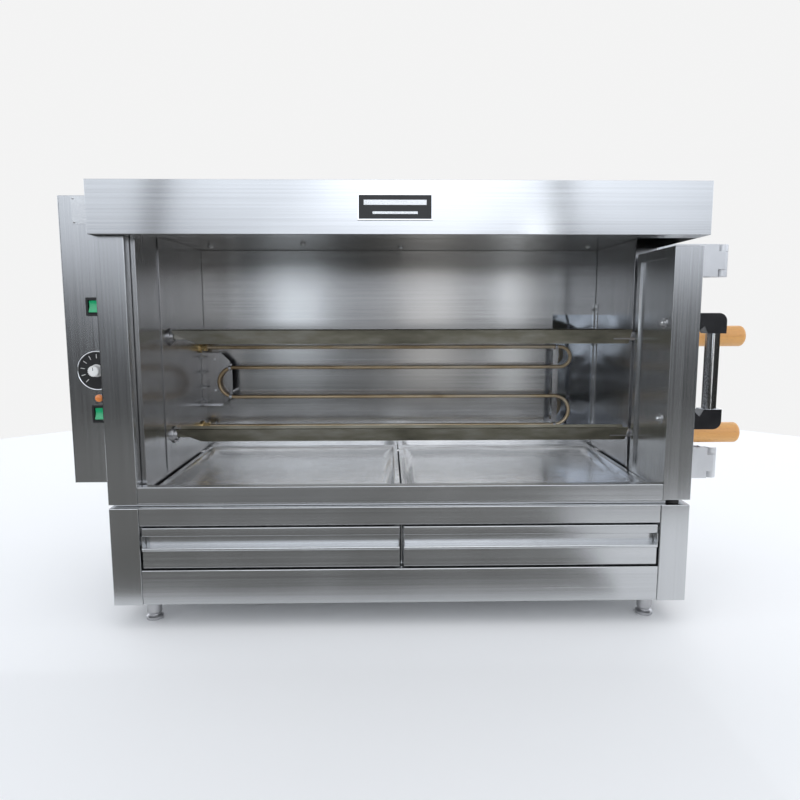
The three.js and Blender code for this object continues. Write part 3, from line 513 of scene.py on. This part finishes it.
hinge_metal = cast_metal("hinge_zinc", (0.82, 0.83, 0.85), 0.36)
leaf_thickness, screw_inset, hinge_screw = 0.003, 0.014, 0.0085
for level, below, above in (("upper", 0.011, 0.001), ("lower", 0.010, 0.010)):
    eased("hinge_arm_" + level, "hinge_leaf_door_" + level, hinge_metal, 0.0014)
    eased("hinge_bracket_" + level, "hinge_leaf_wall_" + level, hinge_metal, 0.0014)
    low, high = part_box("hinge_arm_" + level)
    wall_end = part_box("hinge_bracket_" + level)[1].y
    face = low.x + leaf_thickness
    middle = (low.z + high.z) / 2
    rows = (middle - below, middle + above)
    screws("hinge_screws_door_" + level, "door", hinge_screw,
           [((face, low.y + screw_inset, z), (1, 0, 0)) for z in rows])
    screws("hinge_screws_wall_" + level, "oven_body", hinge_screw,
           [((face, wall_end - screw_inset, z), (1, 0, 0)) for z in rows])

# ---------------------------------------------------------------- door and handle
# The right front post and the front half of the right wall are one folded sheet door. Its handle is a chromed
# tube held between two black nylon ends. A bolt goes through the door into each end, and shows inside the
# door as a domed nut on a wide washer.
eased("door", "door_shell", steel_along_z, 0.0022)
nylon = Paint("black_nylon", Metallic=0.0, Coat_Roughness=0.12)
skin = nylon.noise(1400, 2.0)
swirl = nylon.noise(40, 3.0)
nylon.relief(skin, 0.00003, 0.5)
black_nylon = nylon.set(
    Base_Color=nylon.blend(swirl, (0.006, 0.006, 0.007), (0.020, 0.020, 0.022)),
    Roughness=0.17 + swirl * 0.16, Coat_Weight=0.3,
)
plating = Paint("chrome_plate", Metallic=1.0)
haze = plating.noise(60, 4.0, (1, 1, 0.08))
chrome = plating.set(
    Base_Color=plating.blend(haze, (0.72, 0.73, 0.75), (0.86, 0.87, 0.89)), Roughness=0.05 + haze * 0.09,
)
low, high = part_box("door_handle_tube")
middle, radius = (low + high) / 2, (high.x - low.x) / 2
dressed(turned("handle_tube", [
    (radius - 0.0012, low.z), (radius, low.z + 0.0008), (radius, high.z - 0.0008), (radius - 0.0012, high.z),
], (0, 0, 1), (middle.x, middle.y, 0), 64), chrome, "door", "chrome_tube", "door_handle_tube")

door_low, door_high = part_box("door")
door_recess = 0.005
for level in ("upper", "lower"):
    eased("door_handle_end_" + level, "handle_end_" + level, black_nylon, 0.0050, 5, 40)
    low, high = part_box("door_handle_end_" + level)
    dressed(turned("handle_nut_" + level, [
        (0.0095, 0), (0.0095, 0.0014), (0.0088, 0.0018), (0.0050, 0.0018), (0.0050, 0.0050), (0.0046, 0.0062),
        (0.0036, 0.0078), (0.0018, 0.0088), (0.0006, 0.0090),
    ], (-1, 0, 0), (door_low.x + door_recess, (low.y + high.y) / 2, (low.z + high.z) / 2), 32),
            screw_metal, "door", "turned_steel")

# ---------------------------------------------------------------- door rest and feet
# A black rubber stud carries the closed door's front corner. The oven stands on four screwed feet with a
# turned stem, a locking groove and a broad pad.
rubber_paint = Paint("black_rubber", Metallic=0.0)
dust = rubber_paint.noise(350, 4.0)
rubber_paint.relief(dust, 0.0001, 0.6)
rubber = rubber_paint.set(
    Base_Color=rubber_paint.blend(dust, (0.010, 0.010, 0.011), (0.035, 0.034, 0.033)),
    Roughness=0.62 + dust * 0.25,
)
low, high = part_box("door_buffer")
middle, radius = (low + high) / 2, (high.x - low.x) / 2
dressed(turned("door_rest", [
    (radius - 0.0012, low.z), (radius, low.z + 0.0010), (radius - 0.0006, middle.z),
    (radius, high.z - 0.0010), (radius - 0.0012, high.z),
], (0, 0, 1), (middle.x, middle.y, 0)), rubber, "oven_body", "rubber_rest", "door_buffer")

lathed = Paint("turned_steel", Metallic=1.0)
rings = lathed.noise(1.0, 3.0, (60, 60, 1800))
cloud = lathed.noise(22, 3.0)
lathed.relief(rings, 0.00004, 0.5)
turned_steel = lathed.set(
    Base_Color=lathed.blend(cloud, (0.40, 0.40, 0.41), (0.60, 0.60, 0.61)),
    Roughness=0.24 + rings * 0.14 + cloud * 0.08,
)
for corner in ("front_left", "front_right", "rear_left", "rear_right"):
    low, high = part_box("foot_" + corner)
    middle, pad = (low + high) / 2, (high.x - low.x) / 2
    stem = pad - 0.002
    dressed(turned("levelling_foot_" + corner, [
        (pad - 0.0012, 0), (pad, 0.0010), (pad, 0.0055), (pad - 0.0008, 0.0064), (stem - 0.0030, 0.0082),
        (stem - 0.0034, 0.0095), (stem - 0.0030, 0.0112), (stem - 0.0004, 0.0130), (stem, 0.0136),
        (stem, 0.0300), (stem - 0.0006, 0.0304), (stem - 0.0006, 0.0312), (stem, 0.0316), (stem, high.z),
    ], (0, 0, 1), (middle.x, middle.y, 0)), turned_steel, "oven_body", "turned_steel", "foot_" + corner)

# ---------------------------------------------------------------- drip pans
# Two bright pans with sloping sides. They are scoured clean, so the bottom has straight scratches in two
# directions, and a faint film of fat breaks up the shine.
pan_paint = Paint("pan_steel", Metallic=1.0)
film = pan_paint.noise(7.0, 5.0)
spots = pan_paint.noise(60.0, 3.0)
scours = pan_paint.noise(1.0, 2.0, (20, 420, 60), (0, 0, 0.5)).power(7.0)
crossing = pan_paint.noise(1.0, 2.0, (380, 24, 60), (0, 0, 0.35)).power(7.0)
pan_paint.relief(film * 1.4 + scours * 9.0 + crossing * 9.0, 0.0004, 0.5)
pan_steel = pan_paint.set(
    Base_Color=pan_paint.blend(film * 0.7 + spots * 0.3, (0.76, 0.76, 0.75), (0.95, 0.96, 0.97)),
    Roughness=0.03 + film * 0.20 + spots * 0.06,
)
for side in ("left", "right"):
    eased("drip_pan_" + side, "fat_pan_" + side, pan_steel, 0.0012)

# ---------------------------------------------------------------- heater
# One steel-sheathed element, blued and browned by heat, is bent into four runs that two strips with clips
# hold. Its ends pass the left lining in brass glands, in front of a chamfered terminal plate with a foot
# flange and beside four terminal studs with washers and nuts.
sheath = Paint("heater_sheath", Metallic=0.9)
tint = sheath.noise(9.0, 3.0, (1, 1, 2))
scale = sheath.noise(260.0, 3.0)
sheath.relief(scale, 0.0001, 0.5)
sheath_steel = sheath.set(
    Base_Color=sheath.ramp(
        tint * 0.8 + scale * 0.2,
        (0.30, (0.30, 0.21, 0.12)), (0.48, (0.50, 0.39, 0.25)), (0.62, (0.58, 0.50, 0.38)),
    ),
    Roughness=0.30 + scale * 0.22,
)
eased("heater_element", "heater_tube", sheath_steel, 0.0004, 1, 60)
brass_paint = Paint("brass", Metallic=1.0)
tarnish = brass_paint.noise(90.0, 4.0)
brass = brass_paint.set(
    Base_Color=brass_paint.blend(tarnish, (0.50, 0.34, 0.14), (0.82, 0.64, 0.34)),
    Roughness=0.18 + tarnish * 0.2,
)
for level in ("upper", "lower"):
    eased("heater_gland_" + level, "brass_gland_" + level, brass, 0.0006, 2)

# The sheet linings' faces are found from what stands on them: a gland's flange has the thin air gap under it,
# and a drip pan ends 1 mm short.
lining_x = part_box("heater_gland_lower")[0].x - air
back_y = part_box("drip_pan_left")[1].y + 0.001
tube_low, tube_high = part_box("heater_element")
tube_radius = 0.004
tube_y = tube_low.y + tube_radius
run_pitch = 0.066
run_low, run_high = tube_low.z + tube_radius, tube_high.z - tube_radius
run_second, run_third = run_low + run_pitch, run_low + 2 * run_pitch


def heater_strip(name, x0, x1, z0, z1, runs):
    strap_y = tube_y + tube_radius + air
    gap = back_y - strap_y
    clip_bore, clip_skin = tube_radius + air, tube_radius + 0.0013
    middle = (x0 + x1) / 2
    strip = block(name, (x0, strap_y, z0), (x1, strap_y + 0.0015, z1), 0.0004)
    clips = [turned("clip", [
        (clip_bore, -0.003), (clip_skin, -0.003), (clip_skin, 0.003), (clip_bore, 0.003), (clip_bore, -0.003),
    ], (1, 0, 0), (middle, tube_y, z), 24) for z in runs]
    posts = [turned("post", [
        (0.0040, 0.0008), (0.0040, 0.0030), (0.0025, 0.0032), (0.0025, gap - 0.0025), (0.0050, gap - 0.0023),
        (0.0050, gap - 0.0010),
    ], (0, 1, 0), (middle, strap_y, z), 20) for z in (z0 + 0.012, z1 - 0.012)]
    dressed(joined(name, strip, *clips, *posts), steel_side_lining, "oven_body", "brushed_stainless")


heater_strip("heater_strip_left", tube_low.x + 0.070, tube_low.x + 0.078,
             run_second - 0.002, run_third + 0.008, (run_second + 0.001, run_third - 0.001))
heater_strip("heater_strip_right", tube_high.x - 0.042, tube_high.x - 0.0295,
             run_low - 0.009, run_high + 0.004, (run_low, run_high))

plate_y = tube_y + 0.010
plate_foot, plate_head = run_second - 0.021, run_high - 0.012
plate_left, plate_right, chamfer_x = lining_x + air, lining_x + 0.0643, lining_x + 0.0443
plate = block("terminal_plate", (plate_left, plate_y, plate_foot),
              (plate_right, plate_y + 0.0015, plate_head), 0.0003, 1)
only(plate)
bpy.ops.object.mode_set(mode="EDIT")
for corner_z, slope in ((plate_foot, -1), (plate_head, 1)):
    bpy.ops.mesh.select_all(action="SELECT")
    bpy.ops.mesh.bisect(plane_co=(chamfer_x, plate_y, corner_z), plane_no=(1, 0, slope), use_fill=True,
                        clear_outer=True)
bpy.ops.object.mode_set(mode="OBJECT")
flange = block("foot_flange", (plate_left, plate_y - 0.018, plate_foot),
               (chamfer_x, plate_y + 0.0015, plate_foot + 0.0015), 0.0003, 1)
dressed(joined("terminal_plate", plate, flange), steel_side_lining, "oven_body", "brushed_stainless")
screws("terminal_plate_screws", "oven_body", 0.0075,
       [((lining_x + 0.030, plate_y, z), (0, -1, 0)) for z in (run_second + 0.014, run_third + 0.018)])

stud_pitch = 0.034
studs = [turned("stud", [
    (0.0065, 0.0002), (0.0065, 0.0012), (0.0042, 0.0012), (0.0042, 0.0052), (0.0024, 0.0054),
    (0.0024, 0.0130), (0.0018, 0.0136),
], (1, 0, 0), (lining_x, plate_y - 0.010, run_second - 0.012 + stud_pitch * i), 6) for i in range(4)]
dressed(joined("terminal_studs", *studs), screw_metal, "oven_body", "turned_steel")

# ---------------------------------------------------------------- mirror plate and corner strip
# A square of polished sheet is spot welded to the right of the back lining, where the heater is fixed. A
# narrow zinc strip is screwed up the right wall beside it, clear of the drip pan when that is lifted out.
mirror_paint = Paint("polished_sheet", Metallic=1.0)
bloom = mirror_paint.noise(5.0, 4.0)
ripple = mirror_paint.noise(9.0, 2.0)
mirror_paint.relief(ripple, 0.0060, 0.6)
mirror_steel = mirror_paint.set(
    Base_Color=mirror_paint.blend(bloom, (0.50, 0.54, 0.60), (0.72, 0.76, 0.82)),
    Roughness=0.02 + bloom * 0.10,
)
dressed(block("mirror_plate", (tube_high.x - 0.0355, back_y - 0.0009, run_low - 0.020),
              (tube_high.x + 0.0590, back_y - 0.0001, run_low + 0.2486), 0.0002),
        mirror_steel, "oven_body", "polished_stainless")

wall_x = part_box("drip_pan_right")[1].x + 0.005
strip_face = wall_x - 0.0018
strip_foot, strip_head = run_low - 0.012, run_high + 0.095
dressed(block("corner_strip", (strip_face, back_y - 0.0180, strip_foot),
              (wall_x - air, back_y - 0.0020, strip_head), 0.0004),
        screw_metal, "oven_body", "brushed_stainless")
screws("corner_strip_screws", "oven_body", 0.0070, [
    ((strip_face, back_y - 0.0100, z), (-1, 0, 0))
    for z in (strip_foot + 0.012, run_second + 0.040, run_high + 0.004, strip_head - 0.012)
])

# ---------------------------------------------------------------- spits
# Two V-shaped bars dulled by heat and fat, on plain round shafts with a thrust collar. The beech handles are
# turned, with round shoulders, and are bored for the shafts.
scorched = Paint("scorched_steel", Metallic=0.95)
soot = scorched.noise(6.0, 5.0, (0.5, 1, 1))
drip = scorched.noise(60.0, 4.0, (0.35, 1, 1))
along = scorched.noise(1.0, 3.0, GRAIN["x"])
scorched.relief(drip + along * 0.5, 0.0002, 0.5)
spit_steel = scorched.set(
    Base_Color=scorched.ramp(
        soot * 0.7 + drip * 0.3,
        (0.34, (0.12, 0.11, 0.085)), (0.50, (0.25, 0.24, 0.19)), (0.66, (0.42, 0.41, 0.37)),
    ),
    Roughness=0.26 + soot * 0.14 + drip * 0.12,
)
beech = Paint("oiled_beech", Metallic=0.0, Coat_Weight=0.25, Coat_Roughness=0.3)
fibres = beech.noise(1.0, 5.0, (14, 420, 420))
growth = beech.noise(1.0, 2.0, (2.2, 70, 34))
flecks = beech.noise(1.0, 1.0, (160, 900, 500)).power(8.0)
beech.relief(fibres + flecks * 6.0, 0.00015, 0.6)
wood_tone = beech.ramp(
    growth * 0.75 + fibres * 0.25,
    (0.30, (0.62, 0.28, 0.08)), (0.50, (0.76, 0.39, 0.12)), (0.72, (0.84, 0.48, 0.18)),
)
beech_wood = beech.set(
    Base_Color=beech.blend(flecks * 4.0, wood_tone, (0.40, 0.18, 0.07)), Roughness=0.42 + fibres * 0.18,
)
rod, collar_radius, collar_length = 0.008, 0.012, 0.005
collar = door_high.x - 0.024
near_shoulder, far_shoulder = 0.006, 0.010
for level in ("upper", "lower"):
    body = level + "_spit"
    eased("spit_" + level, "spit_bar_" + level, spit_steel, 0.0009, 2)
    low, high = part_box("spit_shaft_" + level)
    centre = (0, (low.y + high.y) / 2, (low.z + high.z) / 2)
    dressed(turned("spit_rod_" + level, [
        (0.0068, low.x), (rod, low.x + 0.0012), (rod, collar), (0.0114, collar),
        (collar_radius, collar + 0.0006), (collar_radius, collar + 0.0044), (0.0114, collar + collar_length),
        (rod, collar + collar_length), (rod, high.x - 0.001), (0.007, high.x),
    ], (1, 0, 0), centre), turned_steel, body, "spit_steel", "spit_shaft_" + level)
    low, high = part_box("spit_handle_" + level)
    radius = (high.z - low.z) / 2
    near = [(radius - near_shoulder + near_shoulder * sin(radians(a)),
             low.x + near_shoulder - near_shoulder * cos(radians(a))) for a in range(0, 91, 10)]
    far = [(radius - far_shoulder + far_shoulder * cos(radians(a)), high.x - 0.008 + 0.008 * sin(radians(a)))
           for a in range(0, 91, 9)]
    dressed(turned("beech_handle_" + level, [
        (0.0083, high.x - 0.0198), (0.0083, low.x), *near, *far,
    ], (1, 0, 0), centre, 64), beech_wood, body, "turned_wood", "spit_handle_" + level)

# ---------------------------------------------------------------- spit drive and cradles
# On the left each spit plugs into a turned socket. A strip of sheet covers the slot in the lining behind the
# two sockets and is punched open round them. On the right the shafts lie in cast cradles, open to the front.
low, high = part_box("spit_shaft_upper")
spit_y = (low.y + high.y) / 2
hole_radius = 0.0168
strip = block("drive_strip", (lining_x + air, spit_y - 0.045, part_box("chamber_front_rail")[1].z - 0.007),
              (lining_x + 0.0018, spit_y + 0.0205, ceiling_low.z - 0.004), 0.0003)
for level in ("lower", "upper"):
    low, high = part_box("spit_shaft_" + level)
    hole = (lining_x, spit_y, (low.z + high.z) / 2)
    cut(strip, turned("punch", [(hole_radius, -0.01), (hole_radius, 0.01)], (1, 0, 0), hole))
dressed(strip, steel_side_lining, "oven_body", "brushed_stainless")
for level in ("upper", "lower"):
    eased("drive_shaft_" + level, "drive_socket_" + level, turned_steel, 0.0005, 2, 40)
    eased("spit_bearing_" + level, "spit_bearing_block_" + level, screw_metal, 0.0010, 2)

# ---------------------------------------------------------------- motor and chain
# Out of sight in the control box, an enamelled gearmotor turns the two spits together by its sprocket and an
# oiled roller chain.
enamel = Paint("grey_enamel", Metallic=0.0, Coat_Weight=0.4, Coat_Roughness=0.3)
peel = enamel.noise(700.0, 2.0)
patch = enamel.noise(18.0, 3.0)
enamel.relief(peel, 0.0001, 0.5)
motor_enamel = enamel.set(
    Base_Color=enamel.blend(patch, (0.13, 0.14, 0.15), (0.20, 0.21, 0.22)), Roughness=0.36 + patch * 0.15,
)
eased("gearmotor", "gear_motor", motor_enamel, 0.0020, 3, 40)
eased("motor_sprocket", "chain_wheel_motor", turned_steel, 0.0004, 2)
oiled = Paint("oiled_chain", Metallic=0.9)
links = oiled.noise(120.0, 2.0)
oiled.relief(links, 0.0006, 0.6)
oiled_chain = oiled.set(
    Base_Color=oiled.blend(links, (0.10, 0.09, 0.08), (0.30, 0.28, 0.25)), Roughness=0.30 + links * 0.15,
)
eased("drive_chain", "roller_chain", oiled_chain, 0.0008, 2, 40)

# ---------------------------------------------------------------- switches and cord gland
# Two green rockers snap into the control box's front in black bezels, with a faint glow painted into the keys
# to brighten their green. A black gland for the mains lead is screwed into the back of the box.
moulding = Paint("black_moulding", Metallic=0.0)
fine = moulding.noise(1600.0, 2.0)
shade = moulding.noise(30.0, 2.0)
moulding.relief(fine, 0.00005, 0.5)
matt_black = moulding.set(
    Base_Color=moulding.blend(shade, (0.009, 0.009, 0.010), (0.022, 0.022, 0.023)),
    Roughness=0.28 + fine * 0.22,
)
# The small emission is a painted glow that only brightens the green keys.
green = Paint("green_rocker", Metallic=0.0, Coat_Weight=0.6, Coat_Roughness=0.08, Emission_Strength=0.10)
depth = green.noise(55.0, 2.0)
green_plastic_painted_glow = green.set(
    Base_Color=green.blend(depth, (0.004, 0.24, 0.09), (0.012, 0.42, 0.17)), Roughness=0.16 + depth * 0.12,
    Emission_Color=green.blend(depth, (0.01, 0.40, 0.16), (0.03, 0.60, 0.26)),
)
for level in ("upper", "lower"):
    eased("switch_body_" + level, "switch_bezel_" + level, matt_black, 0.0008)
    eased("rocker_" + level, "rocker_key_" + level, green_plastic_painted_glow, 0.0012)
eased("cable_gland", "cord_gland", matt_black, 0.0006, 2, 40)

# ---------------------------------------------------------------- thermostat dial
# A black dial plate with eleven plain ticks lies inside a chromed rim. The moulded white knob has eighteen
# ribs round its grip and a short black pointer on its face.
eased("thermostat", "dial_plate", matt_black, 0.0005, 2)
low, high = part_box("thermostat_knob")
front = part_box("control_box")[0].y
dial = (low + high) / 2
white = Paint("white_knob", Metallic=0.0, Coat_Weight=0.3, Coat_Roughness=0.2)
grime = white.noise(180.0, 4.0)
white_plastic = white.set(
    Base_Color=white.blend(grime, (0.80, 0.79, 0.77), (0.93, 0.93, 0.92)), Roughness=0.30 + grime * 0.2,
)


def around_dial(piece, y, angles):
    at = Matrix.Translation((dial.x, y, dial.z))
    ring = [copied(piece, piece.name, at @ Matrix.Rotation(radians(angle), 4, "Y")) for angle in angles]
    bpy.data.objects.remove(piece)
    return ring


length = high.y - low.y
knob = turned("dial_knob", [
    (0.0033, length - 0.0125), (0.0033, 0), (0.0112, 0), (0.0115, 0.0004), (0.0115, 0.0016),
    (0.0108, 0.0026), (0.0100, 0.0040), (0.0096, 0.0080), (0.0093, length - 0.0020),
    (0.0086, length - 0.0006), (0.0075, length),
], (0, -1, 0), (dial.x, high.y, dial.z))
rib = block("rib", (-0.0009, -length + 0.0006, 0.0080), (0.0009, -0.0034, 0.0099), 0.0003)
ribs = around_dial(rib, high.y, range(0, 360, 20))
dressed(joined("dial_knob", knob, *ribs), white_plastic, "thermostat_dial", "white_knob", "thermostat_knob")
dressed(block("dial_pointer", (dial.x - 0.0005, low.y - 0.0003, dial.z + 0.0010),
              (dial.x + 0.0005, low.y + 0.0001, dial.z + 0.0068), 0.0001, 1),
        matt_black, "thermostat_dial", "black_moulding")

dial_radius, plate_thickness = 0.035, 0.002
plate_front = front - air - plate_thickness
rim_inside, rim_outside = dial_radius - 0.0013, dial_radius + 0.0007
dressed(turned("dial_rim", [
    (rim_inside, 0.0001), (rim_inside, 0.0012), (dial_radius - 0.0009, 0.0018),
    (dial_radius - 0.0004, 0.0019), (dial_radius + 0.0004, 0.0014), (rim_outside, 0.0004),
    (rim_outside, -0.0018), (dial_radius + 0.0002, -0.0018), (dial_radius + 0.0002, 0.0001),
    (rim_inside, 0.0001),
], (0, -1, 0), (dial.x, plate_front, dial.z), 96), chrome, "oven_body", "chrome_tube")
tick = block("tick", (-0.00045, -0.0003, 0.0225), (0.00045, 0.0002, 0.0300), 0.0001, 1)
ticks = around_dial(tick, plate_front, range(-135, 136, 27))
dressed(joined("dial_ticks", *ticks), white_plastic, "oven_body", "white_knob")

# ---------------------------------------------------------------- pilot lamp
# A domed lens moulded in clear amber plastic. Its barrel is pushed through a hole in the control box's front
# and its lip lies on the sheet.
amber = Paint("amber_lens", Metallic=0.0, Coat_Weight=0.8, Coat_Roughness=0.05, Emission_Strength=0.08)
facet = amber.noise(220.0, 1.0)
amber.relief(facet, 0.0003, 0.5)
amber_lens = amber.set(
    Base_Color=amber.blend(facet, (0.58, 0.14, 0.025), (0.74, 0.26, 0.06)), Roughness=0.12 + facet * 0.1,
    Emission_Color=amber.blend(facet, (0.95, 0.22, 0.03), (1.0, 0.45, 0.10)),
)
low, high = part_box("pilot_lamp")
radius, lip = (high.z - low.z) / 2, 0.0018
barrel = radius - 0.002
dome = [(radius * cos(radians(a)), lip + (front - low.y - lip) * sin(radians(a))) for a in range(0, 85, 12)]
dressed(turned("lamp_lens", [
    (barrel, -0.018), (barrel, air), (radius, air), *dome,
], (0, -1, 0), ((low.x + high.x) / 2, front, (low.z + high.z) / 2)),
        amber_lens, "oven_body", "amber_lens", "pilot_lamp")

# ---------------------------------------------------------------- rating plate
# A thin plate without print, riveted to the front of the control box near the top. It ends just beside the
# front post.
box_low, box_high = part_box("control_box_cover")
post_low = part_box("left_post")[0]
plate_x, plate_z = (box_low.x + 0.024, post_low.x - 0.002), (box_high.z - 0.050, box_high.z - 0.002)
rivet = 0.0035
dressed(block("rating_plate", (plate_x[0], front - 0.0006, plate_z[0]),
              (plate_x[1], front - 0.0001, plate_z[1]), 0.0002),
        screw_metal, "oven_body", "brushed_stainless")
screws("rating_plate_rivets", "oven_body", 0.0040, [
    ((x, front - 0.0006, z), (0, -1, 0))
    for x in (plate_x[0] + rivet, plate_x[1] - rivet) for z in (plate_z[0] + rivet, plate_z[1] - rivet)
])

# ---------------------------------------------------------------- name plate
# A small badge without print, glued to the middle of the hood. It has a bright pressed rim, a dark field and
# two plain raised bars.
middle_x = (post_low.x + door_high.x) / 2
badge_x, badge_z = middle_x - 0.0105, (hood_low.z + hood_high.z) / 2


def badge_layer(name, half_width, z0, z1, behind, proud, *edge):
    return block(name, (badge_x - half_width, hood_low.y - proud, badge_z + z0),
                 (badge_x + half_width, hood_low.y - behind, badge_z + z1), *edge)


dressed(badge_layer("badge_rim", 0.0605, -0.021, 0.021, 0.0001, 0.0018, 0.0007, 3),
        chrome, "oven_body", "polished_stainless")
dressed(badge_layer("badge_field", 0.0580, -0.0185, 0.0185, 0.0017, 0.0021, 0.0001, 1),
        matt_black, "oven_body", "black_moulding")
bars = [badge_layer("bar", half_width, z0, z1, 0.0020, 0.0024, 0.0001, 1)
        for half_width, z0, z1 in ((0.050, 0.0030, 0.0110), (0.036, -0.0110, -0.0070))]
dressed(joined("badge_bars", *bars), screw_metal, "oven_body", "brushed_stainless")

# ---------------------------------------------------------------- screws of the panels
# Pan-head screws hold the ceiling up under the hood, the rear panel on the back and the side cover on the
# control box.
screws("ceiling_screws", "oven_body", 0.0120, [
    ((middle_x + x, post_low.y + y, ceiling_low.z), (0, 0, -1))
    for x, y in ((-0.397, 0.337), (-0.194, 0.273), (0.006, 0.346), (0.407, 0.334))
])
rear_low, rear_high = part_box("rear_cover")
inset = 0.020
screws("rear_screws", "oven_body", 0.0090, [
    ((x, rear_high.y, z), (0, 1, 0))
    for x in (rear_low.x + inset, (rear_low.x + rear_high.x) / 2, rear_high.x - inset)
    for z in (rear_low.z + inset, rear_high.z - inset)
])
screws("cover_screws", "oven_body", 0.0080, [
    ((box_low.x, front + 0.009, box_low.z + rise), (-1, 0, 0)) for rise in (0.029, 0.189, 0.349, 0.490)
])
bpy.data.objects.remove(pan_head)
